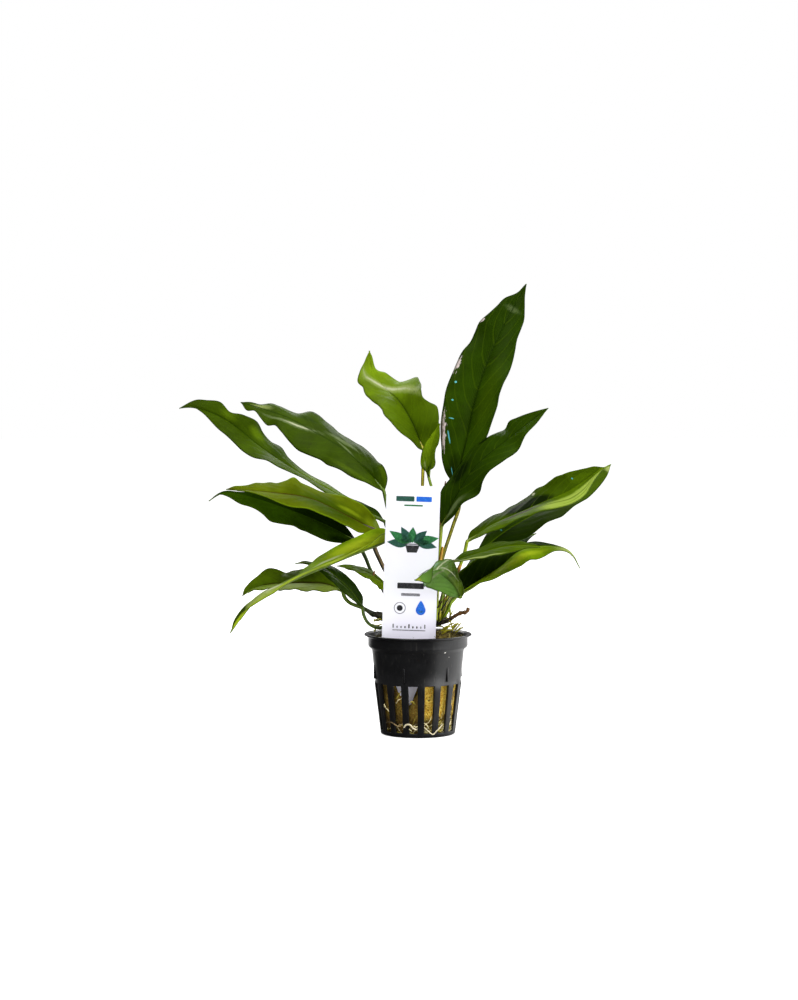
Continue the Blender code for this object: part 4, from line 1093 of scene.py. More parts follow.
def grow_stalk(leaf):
    name = leaf["name"]
    points = [np.array(p, float) for p in leaf["stalk"] + [leaf["spine"][0]]]
    root = min(stem_line, key=lambda p: np.linalg.norm(p - points[0]))
    low_part = smooth_path([root * 0.7 + points[0] * 0.3] + points, STALK_STEPS)
    if name in STALK_DETOURS:
        low_part = smooth_path(STALK_DETOURS[name] + [leaf["spine"][0]], STALK_STEPS)
    line, _ = even_steps(leaf["spine"])
    high_part = []
    size = STALK_RADIUS * STALK_SIZES.get(name, 1)
    for k in range(1, RIB_STEPS + 1):
        s = RIB_END * k / RIB_STEPS
        centre, _, sides = blade_row(leaf, line, s)
        upper = sides[1][1] + sides[-1][1]
        upper /= np.linalg.norm(upper)
        if name in SHOWS_UNDERSIDE:
            upper = -upper
        high_part.append(centre - upper * (RIB_GROOVE + 0.75 * size * (1 - s) + 0.05) * min(1, s * 9))
    radii = [size * r for r in swell([1.7, 1.15, 1.0, 0.97, 0.95, 1.0, 1.05], STALK_STEPS)]
    radii += [size * (0.95 - 0.8 * (k / RIB_STEPS) ** 0.8) for k in range(1, RIB_STEPS + 1)]
    bm = bmesh.new()
    grow_tube(bm, [*low_part, *high_part], radii, 10)
    tones = STALK_TONES.get(name, ("gold", "mid", "fresh", "olive"))
    skin = stalk_skin("stalk_skin_" + name, *tones, dirty=0.5, flank=SHADED_FLANKS.get(name, 0.75))
    finish_piece("petiole_" + name, bm, [skin], ["stalk_" + name])


for leaf in LEAVES:
    grow_stalk(leaf)
print("stalks grown:", len(LEAVES))

# %% [markdown]
# Some old parts are dead and dry: a bent brown stem with an upturned tip on the right, and a thin brown spike
# among the stalks. They are duller than the living stalks, and the bent stem is wrinkled.

# %% Dry stem and spike
OLD_STEM = [(8, -3.5, 56, 1.0), (9.2, -5.2, 55.8, 1.0), (16, -8, 59.3, 0.95), (21, -10, 62.4, 0.9),
            (24.6, -12, 63.4, 1.0), (25.4, -12, 65.6, 0.7)]
DRY_SPIKE = [(9.3, 5.6, 58.2, 0.6), (10, 9.5, 67, 0.6), (10.5, 11, 84, 0.55), (11.5, 13, 108, 0.5),
             (14.3, 14, 128.5, 0.35)]


def wrinkles(distance, angle):
    return 0.16 * math.sin(4 * angle + 2 * distance) + 0.14 * math.sin(2.3 * distance)


dead_skin = stalk_skin("dead_stem_skin", "soot", "bark", "copper", "soot", 0.75, 0.7, 6.0, 1.0)
DRY_PIECES = [
    # name, route, sides, wrinkles, the solid that it stands for
    ("bent_old_stem", OLD_STEM, 12, wrinkles, "old_stem"),
    ("dry_spike", DRY_SPIKE, 8, None, "dry_sheath"),
]
for name, rows, sides, knobs, solid in DRY_PIECES:
    bm = bmesh.new()
    size = swell([row[3] for row in rows], 50)
    grow_tube(bm, smooth_path([row[:3] for row in rows], 50), size, sides, knobs)
    finish_piece(name, bm, [dead_skin], [solid])
print("dry pieces:", len(DRY_PIECES))

# %% [markdown]
# Beside the tag the crown is crowded: the feet of young stalks, brown sheaths of lost leaves and a forked
# stub stand between the stalks. They are short tubes of the same kind.

# %% Crowded crown
CROWN_STEMS = [
    # path, thickness, foot tone, top tone
    ([(10.4, -6, 57.7), (10.1, -7, 66.4), (10.4, -7, 76.6), (11.1, -6, 89.3)], 0.45, "acid", "acid"),
    ([(10.6, -8, 58), (11.4, -9, 65.1), (12.4, -9, 70.7), (13.1, -8, 74.2)], 0.6, "acid", "bright"),
    ([(9.8, -10, 65.2), (12.6, -10.5, 69.1), (15.6, -11, 71.6)], 0.24, "brown", "rust"),
    ([(9.4, -9, 61), (13.1, -9.5, 66.2), (15.9, -10, 71)], 0.4, "soot", "bark"),
    ([(11.1, -7, 58.8), (13.7, -7, 64.4), (14.7, -7, 70), (15.7, -6, 74)], 0.5, "gold", "acid"),
    ([(15.9, -8, 58.4), (16.3, -8.5, 62.5), (16.1, -9, 66)], 0.45, "gold", "gilt"),
    ([(16.3, -8.5, 61.2), (17, -9, 62.2), (17.5, -9, 63.9)], 0.3, "gold", "gilt"),
    ([(16.3, -8.5, 62.6), (15.6, -9, 63.3), (15.1, -9, 64.6)], 0.3, "gold", "gilt"),
    ([(10.1, -9, 56.6), (12.6, -10, 59.2), (14.8, -10, 60.8)], 0.5, "soot", "bark"),
    ([(9.6, -7, 55.6), (10.8, -8.6, 60), (11.2, -9.4, 64)], 0.8, "olive", "gold"),
    ([(11, 3.2, 86.5), (11.8, 3.4, 91), (12.7, 4, 95.4)], 0.9, "amber", "amber"),
    ([(19.6, -1.1, 80.8), (20.9, -1.3, 84.5), (22.1, -1.4, 87.6)], 1.0, "copper", "amber"),
    ([(9.2, -9, 59), (9.7, -9.6, 66), (10.2, -9.2, 74)], 0.55, "acid", "gilt"),
    ([(12.2, -6.4, 58), (12.9, -6.6, 65), (13.6, -6, 72.6)], 0.6, "gilt", "acid"),
    ([(-21.6, 0.4, 61), (-23.4, 0.2, 62.2), (-24.6, 0, 62.9)], 0.7, "bark", "bark"),
    ([(-22.6, -8, 81.8), (-22.4, -8.2, 83), (-21.8, -8.2, 83.8)], 0.5, "rust", "rust"),
]
THREADLIKE = 0.25
for number, (route, size, foot, tip) in enumerate(CROWN_STEMS, 1):
    bm = bmesh.new()
    girth = swell([size * 1.3, size, size, size * 0.5], 20)
    grow_tube(bm, smooth_path(route, 20), girth, 8, wrinkles if size < THREADLIKE else None)
    skin = stalk_skin("crown_stem_skin_%d" % number, foot, foot, tip, "soot", dirty=0.35, flank=0.7)
    finish_piece("crown_stem_%d" % number, bm, [skin])
print("crown stems:", len(CROWN_STEMS))

# %% [markdown]
# The pot is injection-moulded black plastic: a tapered wall with sixteen tall slots, a step up to a plain
# collar, and a thin lip that flares out. Its outline is drawn once as points in a half plane, and turned
# round the axis in steps that fall on the edges of the slots. So each slot is cut by taking faces out and
# bridging the outer edge to the inner one.

# %% Pot sizes and outline
POT_HEIGHT = 51.3
POT_BASE_RADIUS = 19.0
POT_WALL_RADIUS = 23.6
POT_COLLAR_RADIUS = 25.5
POT_LIP_RADIUS = 27.5
POT_STEP_Z = 43.4
POT_WALL = 1.1
POT_FLOOR = 1.2
SLOTS = 16
SLOT_WIDTH = 4.7
SLOT_LOW_Z = 2.2
SLOT_HIGH_Z = 26.5
SLOT_TURN = math.radians(15.2)
SLOT_MIDDLE_RADIUS = 21.0
RIB_SWELL = 0.5
RIDGES = 6
RIDGE_TURN = math.radians(-19)
RIDGE_SIZE = (1.0, 1.2, 7.0)
RIDGE_Z = 32


def wall_radius(z):
    """Outer radius of the tapered wall."""
    return POT_BASE_RADIUS + (POT_WALL_RADIUS - POT_BASE_RADIUS) * z / POT_STEP_Z


heights = [SLOT_LOW_Z + (SLOT_HIGH_Z - SLOT_LOW_Z) * k / 8 for k in range(9)]
inner = POT_COLLAR_RADIUS - POT_WALL
outside = [(POT_BASE_RADIUS - 3.5, 0), (POT_BASE_RADIUS - 0.6, 0), (POT_BASE_RADIUS - 0.12, 0.25),
           (wall_radius(0.7), 0.7)]
outside += [(wall_radius(z) + RIB_SWELL * k / 8, z) for k, z in enumerate(heights)]
outside += [(wall_radius(27.3) + 0.05, 27.3), (wall_radius(34), 34), (wall_radius(42.9), 42.9), (23.75, 43.4),
            (25.2, 44.7), (25.45, 45.1), (POT_COLLAR_RADIUS, 45.6), (POT_COLLAR_RADIUS, 49.3), (25.8, 49.7),
            (27.2, 50.35), (27.45, 50.55), (POT_LIP_RADIUS, 50.85), (27.4, 51.12), (27.1, 51.25),
            (26.8, POT_HEIGHT)]
inside = [(25.6, 50.9), (25.0, 50.4), (inner, 49.6), (inner, 45.4), (22.6, 43.1)]
inside += [(wall_radius(34) - POT_WALL, 34)]
inside += [(wall_radius(z) - POT_WALL, z) for z in reversed(heights)]
inside += [(wall_radius(1.3) - POT_WALL, POT_FLOOR), (POT_BASE_RADIUS - 4.5, POT_FLOOR)]
print("outline points:", len(outside) + len(inside))

# %% [markdown]
# The steps are of unequal angle, because some carry the edges of the slots. So the outline is turned in a
# loop of extrudes, one for each angle, which is what the spin operator does with equal steps.

# %% Turn the wall and cut the slots
def turn_outline(bm, outline, angles):
    """Sweep the open outline round the axis through the angles (radians) and close it."""
    verts = [bm.verts.new((r * math.sin(angles[0]), -r * math.cos(angles[0]), z)) for r, z in outline]
    edges = [bm.edges.new(pair) for pair in zip(verts, verts[1:])]
    for before, after in zip(angles, angles[1:] + [angles[0] + math.tau]):
        grown = bmesh.ops.extrude_edge_only(bm, edges=edges)["geom"]
        moved = [item for item in grown if isinstance(item, bmesh.types.BMVert)]
        own = set(moved)
        edges = [item for item in grown if isinstance(item, bmesh.types.BMEdge)
                 and item.verts[0] in own and item.verts[1] in own]
        bmesh.ops.rotate(bm, verts=moved, cent=(0, 0, 0), matrix=Matrix.Rotation(after - before, 3, 'Z'))
    bmesh.ops.remove_doubles(bm, verts=bm.verts, dist=0.002)


edge = math.asin(SLOT_WIDTH / 2 / SLOT_MIDDLE_RADIUS)
rib = math.tau / SLOTS - 2 * edge
angles = []
for k in range(SLOTS):
    middle = SLOT_TURN + math.tau * k / SLOTS
    angles += [middle - edge, middle - edge / 2, middle, middle + edge / 2, middle + edge]
    angles += [middle + edge + rib * j / 6 for j in range(1, 6)]
bm = bmesh.new()
turn_outline(bm, outside + inside, angles)
slot_faces = []
for face in bm.faces:
    place = face.calc_center_median()
    turn = (math.atan2(place.x, -place.y) - SLOT_TURN) % (math.tau / SLOTS)
    turn = min(turn, math.tau / SLOTS - turn)
    if turn < edge and SLOT_LOW_Z < place.z < SLOT_HIGH_Z:
        slot_faces.append(face)
bmesh.ops.delete(bm, geom=slot_faces, context='FACES')
print("faces after the cut:", len(bm.faces))

# %% [markdown]
# Each slot now has an outer and an inner edge loop. Bridging the loops of one slot at a time makes its four
# side walls. The floor's two open rings, below and above, are filled with a disc each.

# %% Close the slots and the floor
loops = {}
for rim in bm.edges:
    if rim.is_boundary:
        middle = (rim.verts[0].co + rim.verts[1].co) / 2
        if middle.z > SLOT_LOW_Z - 0.01:
            turn = math.atan2(middle.x, -middle.y) - SLOT_TURN + math.pi / SLOTS
            loops.setdefault(int(turn % math.tau / (math.tau / SLOTS)), []).append(rim)
for rims in loops.values():
    bmesh.ops.bridge_loops(bm, edges=rims)
bmesh.ops.holes_fill(bm, edges=[e for e in bm.edges if e.is_boundary], sides=0)
print("slots:", len(loops), "open edges left:", sum(e.is_boundary for e in bm.edges))

# %% [markdown]
# Six small ribs stand on the wall above the slots, where the mould has its ejector marks. They are small
# boxes, rounded by the same Bevel as the rest of the pot.

# %% Small ribs, and the pot as a piece
for k in range(RIDGES):
    turn = RIDGE_TURN + math.tau * k / RIDGES
    cube = bmesh.ops.create_cube(bm, size=1)["verts"]
    bmesh.ops.scale(bm, verts=cube, vec=RIDGE_SIZE)
    bmesh.ops.translate(bm, verts=cube, vec=(0, -wall_radius(RIDGE_Z), RIDGE_Z))
    bmesh.ops.rotate(bm, verts=cube, cent=(0, 0, 0), matrix=Matrix.Rotation(turn, 3, 'Z'))
bmesh.ops.scale(bm, verts=bm.verts, vec=(MM, MM, MM))
bmesh.ops.recalc_face_normals(bm, faces=bm.faces)
print("pot faces:", len(bm.faces))

# %% [markdown]
# Moulded polypropylene is satin, with a very fine grain, flow marks up the wall, a faint cloudy bloom, light
# scratches and dust. Ten larger specks of dust have places of their own.

# %% Black moulded plastic
PALE_DUST = (0.95, 0.92, 0.85)
DUST = [
    # place on the wall (mm), size
    ((13.5, -19.6, 43.6), 0.45), ((8.1, -22.0, 28.2), 0.4), ((19.5, -11.6, 29.5), 0.45),
    ((16.5, -18.3, 46.6), 0.3), ((20.8, -12.6, 38.2), 0.3), ((18.2, -15.0, 34.5), 0.25),
    ((15.6, -17.6, 41), 0.25), ((-7.4, -21.2, 12.4), 0.3), ((17.6, -15.4, 30.6), 0.3),
    ((21.2, -11.8, 33.4), 0.25),
]


def moulded_plastic(name, colour, worn, dust):
    finish, tree, here = new_finish(name)
    grain = cloudy(tree, here, 2200.0, 3.0)
    flow_place = add_node(tree, "VectorMath", {0: here, 1: (1.0, 1.0, 0.12)}, operation='MULTIPLY')
    flow = cloudy(tree, flow_place.outputs[0], 300.0, 4.0)
    specks = use_effect(tree, crumbs, Place=here, Scale=900.0, Amount=0.3)["Mask"]
    scratch_place = add_node(tree, "Mapping", {"Vector": here, "Rotation": (0.3, 0.5, 0.2),
                                               "Scale": (1.0, 1.0, 0.04)})
    scratches = remap(tree, cloudy(tree, scratch_place.outputs[0], 1800.0, 1.0), 0.66, 0.72)
    bloom = remap(tree, cloudy(tree, here, 90.0, 5.0, 0.65), 0.42, 0.75)
    shade = blend_colours(tree, bloom, rgba(colour), rgba(worn))
    shade = blend_colours(tree, sums(tree, 'MULTIPLY', scratches, 0.12), shade, rgba(dust))
    shade = blend_colours(tree, sums(tree, 'MULTIPLY', specks, 0.5), shade, rgba(dust))
    for place, size in DUST:
        spot = tuple(c * MM for c in place)
        away = add_node(tree, "VectorMath", {0: here, 1: spot}, operation='DISTANCE').outputs["Value"]
        speck = remap(tree, away, size * 1.2 * MM, size * 0.6 * MM)
        shade = blend_colours(tree, speck, shade, rgba(PALE_DUST))
    rough = sums(tree, 'MULTIPLY_ADD', bloom, 0.08, remap(tree, flow, 0.3, 0.7, 0.27, 0.33))
    height = sums(tree, 'MULTIPLY_ADD', flow, 0.6, sums(tree, 'MULTIPLY', grain, 0.35))
    bump = add_node(tree, "Bump", {"Height": height, "Strength": 0.16, "Distance": 0.2 * MM})
    plug_in(tree, shade, rough, bump.outputs[0], 0.4)
    return finish


pot_plastic = moulded_plastic("pot_plastic", colour=(0.004, 0.004, 0.0045), worn=(0.007, 0.007, 0.008),
                              dust=(0.16, 0.15, 0.13))
pot = finish_piece("slotted_pot", bm, [pot_plastic], ["net_pot"])
round_edges = pot.modifiers.new("rounded_edges", 'BEVEL')
round_edges.width = 0.16 * MM
round_edges.segments = 2
round_edges.limit_method = 'ANGLE'
round_edges.angle_limit = math.radians(38)
print("pot (mm):", [round(x / MM, 1) for x in pot.dimensions])

# %% [markdown]
# The plug is mineral wool: spun golden-brown fibres matted into a lump, darker where it is damp or overgrown.
# Its body is a turned solid with a lumpy skin, pressed flat in front where the tag goes down beside it. The
# fibres that stand out from it are made afterwards as fine curves.

# %% Rock wool body
WOOL_LOW_Z = 1.6
WOOL_EDGE_Z = 48.5
WOOL_TOP_Z = 51.5
ROOT_ROOM = 1.6
LABEL_FOOT = (-4.8, -13.8, 51.0)
LABEL_WIDTH = 27.2
TAG_BACK_Y = -13.15
TAG_TIP_Z = 14
SLOT_BULGE = 1.5
BULGE_TURNS = (60.2, 82.7, 105.2)


def wool_radius(z):
    """The plug follows the wall: a gap for roots behind the slots, and tight above them."""
    tight = min(1, max(0, (z - 26.5) / 3))
    below = wall_radius(z) - POT_WALL - ROOT_ROOM + tight * (ROOT_ROOM - 0.3)
    return inner - 0.6 if z > 46.3 else min(below, inner - 0.6)


def slot_bulge(turn, z):
    """On the right the wool presses out into the slots."""
    near = max(math.exp(-((math.degrees(turn) - middle) / 5.5) ** 4) for middle in BULGE_TURNS)
    return SLOT_BULGE * near * max(0, min(1, (z - 8) / 4, (26.4 - z) / 2))


def lumps(x, y, z):
    spot = Vector((x, y, z))
    big = noise.noise(spot * 0.22)
    small = noise.noise(spot * 0.75 + Vector((7, 3, 1)))
    return 0.75 * big + 0.4 * small


def tag_room(z):
    """Half the width of the hollow that the tag and its point need."""
    return min(LABEL_WIDTH / 2 + 1.0, 0.5 + 0.62 * (z - 15.5)) if z < 40 else LABEL_WIDTH / 2 + 1.0


dome = WOOL_TOP_Z - WOOL_EDGE_Z
profile = [(0.5, WOOL_LOW_Z), (6, WOOL_LOW_Z), (12, WOOL_LOW_Z)]
profile += [(wool_radius(z), z) for z in np.linspace(WOOL_LOW_Z, WOOL_EDGE_Z, 74)]
profile += [(inner - 0.6 - 0.9 * k, WOOL_EDGE_Z + dome * min(1, k / 10)) for k in range(1, 26)]
profile += [(0.5, WOOL_TOP_Z)]
bm = bmesh.new()
turn_outline(bm, profile, [math.tau * k / 150 for k in range(150)])
bmesh.ops.holes_fill(bm, edges=[e for e in bm.edges if e.is_boundary], sides=0)
for vert in bm.verts:
    x, y, z = vert.co
    r = math.hypot(x, y)
    if r > 1:
        push = lumps(x, y, z)
        if z < 28:
            push = push * 0.8 - 0.3 + slot_bulge(math.atan2(x, -y), z)
        elif z < WOOL_EDGE_Z - 0.4:
            push = min(0, push) - 0.1
        top = max(0, min(1, (z - WOOL_EDGE_Z + 0.2) / 0.6))
        vert.co.z += top * 1.1 * (noise.noise(Vector((x, y, z)) * 0.5) - 0.3)
        vert.co.x += x / r * push * (1 - top)
        vert.co.y += y / r * push * (1 - top)
    beside_tag = vert.co.z > TAG_TIP_Z and abs(vert.co.x - LABEL_FOOT[0]) < tag_room(vert.co.z)
    if beside_tag and vert.co.y < TAG_BACK_Y:
        vert.co.y = TAG_BACK_Y
bmesh.ops.scale(bm, verts=bm.verts, vec=(MM, MM, MM))
bmesh.ops.recalc_face_normals(bm, faces=bm.faces)
print("wool faces:", len(bm.faces))

# %% [markdown]
# Wool colour is a marbling of gold, brown and olive along the fibres. Stretched noise gives the fibres'
# direction, and a second, bent noise breaks it up. It is greener and darker on top, where moss has grown on
# it. Painted shade darkens it near the pot's floor and, where asked, on its left side, away from the light.

# %% Wool and moss finishes
BEND = (0.012, 0.012, 0.02)
matting, takes, gives = shared_effect(
    "matting", [("Place", "place", (0, 0, 0)), ("Fineness", "number", 700.0)],
    [("Strands", "number"), ("Cloud", "number")])
bend = add_node(matting, "TexNoise", {"Vector": takes["Place"], "Scale": 180.0, "Detail": 2.0})
bent = add_node(matting, "VectorMath", {0: bend.outputs["Color"], 1: BEND}, operation='MULTIPLY')
moved = add_node(matting, "VectorMath", {0: takes["Place"], 1: bent.outputs[0]}, operation='ADD')
squeezed = add_node(matting, "VectorMath", {0: moved.outputs[0], 1: (1.0, 1.0, 0.4)}, operation='MULTIPLY')
matting.links.new(cloudy(matting, squeezed.outputs[0], takes["Fineness"], 5.0, 0.6), gives["Strands"])
matting.links.new(cloudy(matting, moved.outputs[0], 130.0, 4.0), gives["Cloud"])


DAMP_TONE = (0.018, 0.016, 0.004)


def matted_skin(name, light, middle, dark, shade_at, deep=1.0, left_shade=0.0):
    finish, tree, here = new_finish(name)
    mat = use_effect(tree, matting, Place=here, Fineness=1100.0)
    apart = add_node(tree, "SeparateXYZ", {0: here})
    high = apart.outputs[2]
    colour = blend_colours(tree, remap(tree, mat["Strands"], 0.44, 0.58), rgba(middle), rgba(light))
    colour = blend_colours(tree, remap(tree, mat["Cloud"], 0.44, 0.3), colour, rgba(dark))
    colour = blend_colours(tree, remap(tree, mat["Strands"], 0.44, 0.34, 0.0, 0.85), colour, rgba(dark))
    # Painted shade: darker near the pot's floor, and on the left where less light comes in through the slots.
    low = sums(tree, 'MULTIPLY', remap(tree, high, 0.012, 0.0065), 0.92)
    colour = blend_colours(tree, low, colour, rgba(dark))
    left_shade_mask = sums(tree, 'MULTIPLY', remap(tree, apart.outputs[0], 0.0035, -0.001), left_shade)
    colour = blend_colours(tree, left_shade_mask, colour, rgba(dark))
    damp_top_and_lightened_foot = sums(tree, 'MULTIPLY', remap(tree, high, shade_at - 0.002, shade_at + 0.004), 0.85)
    colour = blend_colours(tree, damp_top_and_lightened_foot, colour, rgba(DAMP_TONE))
    height = sums(tree, 'MULTIPLY_ADD', mat["Cloud"], 1.5, mat["Strands"])
    bump = add_node(tree, "Bump", {"Height": height, "Strength": deep, "Distance": 0.6 * MM})
    plug_in(tree, colour, remap(tree, mat["Strands"], 0.3, 0.7, 0.95, 0.75), bump.outputs[0], 0.2)
    return finish


wool_skin = matted_skin("wool_skin", (1.0, 0.8, 0.15), (0.85, 0.49, 0.045), (0.1, 0.055, 0.01), 0.046,
                        left_shade=0.85)
wool = finish_piece("wool_plug", bm, [wool_skin], ["rock_wool"])
print("wool plug (mm):", [round(x / MM, 1) for x in wool.dimensions])

# %% [markdown]
# Hundreds of loose fibres are too many to extrude one by one. A curve object can hold them all: each fibre is
# one spline with a little thickness, and Blender turns the whole curve into one mesh. The seed is fixed, so
# every run grows the same fibres.

# %% Helper: many fine fibres as one mesh
def fibre_mesh(name, fibres, finish, sides=0):
    """fibres: lists of (x, y, z, radius) rows in mm. One mesh object comes back."""
    curve = bpy.data.curves.new(name + "_line", 'CURVE')
    curve.dimensions = '3D'
    curve.bevel_depth = MM
    curve.bevel_resolution = sides
    curve.use_fill_caps = True
    for rows in fibres:
        line = curve.splines.new('POLY')
        line.points.add(len(rows) - 1)
        for point, (x, y, z, radius) in zip(line.points, rows):
            point.co = (x * MM, y * MM, z * MM, 1)
            point.radius = radius
    source = bpy.data.objects.new(name + "_line", curve)
    mesh = bpy.data.meshes.new_from_object(source)
    bpy.data.objects.remove(source)
    bpy.data.curves.remove(curve)
    bm = bmesh.new()
    bm.from_mesh(mesh)
    bpy.data.meshes.remove(mesh)
    bmesh.ops.remove_doubles(bm, verts=bm.verts, dist=1e-7)
    bmesh.ops.recalc_face_normals(bm, faces=bm.faces)
    return finish_piece(name, bm, [finish])


def wander(chance, start, heading, steps, stride, curl, radius):
    """A fibre that walks from start, turning a little at each step."""
    place = np.array(start, float)
    way = np.array(heading, float)
    way /= np.linalg.norm(way)
    rows = []
    for k in range(steps + 1):
        share = k / steps
        rows.append((*place, radius * (1 - 0.6 * share)))
        way = way + np.array([chance.gauss(0, curl) for _ in range(3)])
        way /= np.linalg.norm(way)
        place = place + way * stride
    return rows


print("fibre helper ready")

# %% [markdown]
# Behind the slots the fibres lie in the gap between plug and wall, some upright and some across. They hug the
# plug, so each is walked on the wool's own cylinder and never leaves through the wall.

# %% Fibres behind the slots
SIDE_FIBRES = 1500
chance = random.Random(7)
side_fibres = []
for _ in range(SIDE_FIBRES):
    turn = chance.uniform(0, math.tau)
    z = chance.uniform(2.5, 27)
    tilt = chance.gauss(0, 0.9)
    lift = chance.uniform(-0.15, 0.75)
    rows = []
    steps = 7
    for k in range(steps + 1):
        out = wool_radius(z) - 0.25 + lift * math.sin(math.pi * k / steps)
        x, y = out * math.sin(turn), -out * math.cos(turn)
        if z > TAG_TIP_Z and abs(x - LABEL_FOOT[0]) < tag_room(z):
            y = max(y, TAG_BACK_Y - 0.1)
        rows.append((x, y, z, chance.uniform(0.05, 0.13)))
        tilt += chance.gauss(0, 0.35)
        turn += 0.6 * math.sin(tilt) / out
        z = min(27.5, max(2.4, z + 0.6 * math.cos(tilt)))
    side_fibres.append(rows)
fibre_gold = matted_skin("fibre_gold", (1.0, 0.82, 0.17), (0.85, 0.5, 0.045), (0.1, 0.055, 0.01), 0.046,
                         deep=0.3, left_shade=0.75)
loose = fibre_mesh("loose_wool", side_fibres, fibre_gold)
print("side fibres:", len(side_fibres), "faces:", len(loose.data.polygons))

# %% [markdown]
# On top, the wool is overgrown: dark moss and a few straw-coloured bits, matted flat with ends that stick up.
# They stay below the creeping stem and inside the lip.

# %% Moss and litter on top
TOP_FIBRES = 2600
top_fibres, straw_fibres = [], []
for k in range(TOP_FIBRES):
    out = 23.2 * math.sqrt(chance.random())
    turn = chance.uniform(0, math.tau)
    x, y = out * math.sin(turn), -out * math.cos(turn)
    if y < -12.6 and abs(x - LABEL_FOOT[0]) < LABEL_WIDTH / 2 + 0.8:
        continue
    z = WOOL_TOP_Z - 0.9 - 2.6 * max(0, (out - 15) / 9)
    heading = (chance.gauss(0, 1), chance.gauss(0, 1), abs(chance.gauss(0.2, 0.5)))
    rows = wander(chance, (x, y, z), heading, 5, chance.uniform(0.35, 0.8), 0.45, chance.uniform(0.09, 0.2))
    rows = [row for row in rows if math.hypot(row[0], row[1]) < 24.0 and row[2] < 56]
    if len(rows) > 2:
        (straw_fibres if k % 7 == 0 else top_fibres).append(rows)
moss_skin = matted_skin("moss_skin", (0.14, 0.11, 0.016), (0.03, 0.026, 0.006), (0.005, 0.004, 0.002), 0.09,
                        deep=0.3)
straw_skin = matted_skin("straw_skin", (0.6, 0.52, 0.16), (0.25, 0.19, 0.04), (0.03, 0.02, 0.006), 0.09,
                         deep=0.3)
fibre_mesh("moss_on_top", top_fibres, moss_skin)
fibre_mesh("litter_on_top", straw_fibres, straw_skin)
print("top fibres:", len(top_fibres), len(straw_fibres))

# %% [markdown]
# Roots have found the slots. They are cream where young and brown where old, with a smooth skin, and they
# wind out through one slot, over a rib of the pot and back in. Each is given as places on the wall: the
# angle from the front in degrees, the height, and how far it stands out from the wall's outside.

# %% Roots at the slots
ROOT_ROUTES = {
    # name: ((angle, height, out), ...), thickness, finish, the solid that it stands for
    "root_arch": ([(-24, 4.2, -1.2), (-20.5, 5.9, 0.2), (-16, 7.1, 0.5), (-11.5, 6.9, 0.5), (-7.6, 5.2, 0),
                   (-3.4, 4.5, -0.4), (0, 5.2, -1.2)], 0.42, "root", "root_front_arch"),
    "root_crossing": ([(6, 7.2, -1.2), (8.6, 5.8, -0.6), (13, 4.3, -0.2), (18, 2.8, 0.2), (21.5, 1.9, 0.45),
                       (24.5, 2.3, 0.45), (29, 3.7, 0.2), (35, 5.2, -0.2), (43, 6.7, -1.2)], 0.27, "root",
                      "root_front_cross"),
    "root_rising": ([(56, 3.2, -1.1), (60, 9, -1.1), (62, 16, -1.2), (66, 23, -1.2)], 0.3, "root_brown",
                    "root_right_rise"),
    "root_brown_left": ([(-60, 6.6, -1.2), (-52, 7.2, 0), (-47.8, 7.5, 0.5), (-40, 7.4, 0.5), (-33, 6.1, 0.3),
                         (-28.5, 5.9, 0), (-25, 6.8, -1)], 0.32, "root_brown", "root_left_brown"),
}
MORE_ROOTS = [
    # places on the wall, thickness
    ([(-17.5, 5.6, -0.6), (-14, 4.7, -0.4), (-9.8, 3.4, -0.6)], 0.3),
    ([(-12, 18, -1), (-8.6, 18.9, -0.5), (-4, 17, -1)], 0.28),
    ([(-62, 17.4, -1), (-56, 15, -0.4), (-47.5, 12.6, -0.8)], 0.3),
    ([(48, 10, -1), (53, 10.6, -0.4), (60, 12.9, -1)], 0.32),
    ([(49, 8.4, -1), (54, 9.4, -0.4), (61, 9.6, -1)], 0.3),
    ([(28, 6.6, -1), (33, 8, -0.4), (38, 8.4, -1)], 0.3),
    ([(7, 8, -1), (12, 7.0, -0.4), (17, 4.8, -1)], 0.32),
    ([(50, 7, -1), (56, 5.0, -0.4), (62, 2.6, -1)], 0.34),
    ([(62, 8, -1), (57, 6.2, -0.5), (52, 3, -1)], 0.3),
    ([(-33, 20, -1), (-29, 21.6, -0.6), (-25, 24, -1)], 0.25),
    ([(-34, 17.5, -1), (-29, 19.4, -0.6), (-25, 20, -1)], 0.25),
    ([(30, 4.0, -1), (36, 3.1, -0.3), (42, 4.2, -1)], 0.3),
    ([(-8, 6.2, -1), (-3, 5.8, -0.2), (2, 6.8, -1)], 0.3),
]
cream_root = stalk_skin("cream_root", "root", "root", "root", "tan", 0.5, 0.35, 3.0, 0.4)
young_root = stalk_skin("young_root", "young root", "young root", "young root", "tan", 0.8, 0.35, 3.0, 0.3)
brown_root = stalk_skin("brown_root", "tan", "brown", "tan", "bark", 0.5, 0.6, 4.0, 0.5)


def wall_place(angle, z, out):
    turn = math.radians(angle)
    r = wall_radius(z) + out
    return r * math.sin(turn), -r * math.cos(turn), z


def root_bumps(distance, angle):
    return 0.04 * math.sin(2.1 * distance + angle) + 0.03 * math.sin(5.3 * distance)


for name, (route, size, kind, solid) in ROOT_ROUTES.items():
    bm = bmesh.new()
    line = smooth_path([wall_place(*place) for place in route], 44)
    grow_tube(bm, line, swell([size * 0.85, size, size, size * 0.8], 44), 12, root_bumps)
    finish_piece(name, bm, [cream_root if kind == "root" else brown_root], [solid])
print("thick roots:", len(ROOT_ROUTES))

# %% [markdown]
# Low in the pot the young roots are a tangle. Each of these starts at a chance place near the floor and
# wanders round the plug, level on the whole, rising and dipping in the gap behind the ribs.

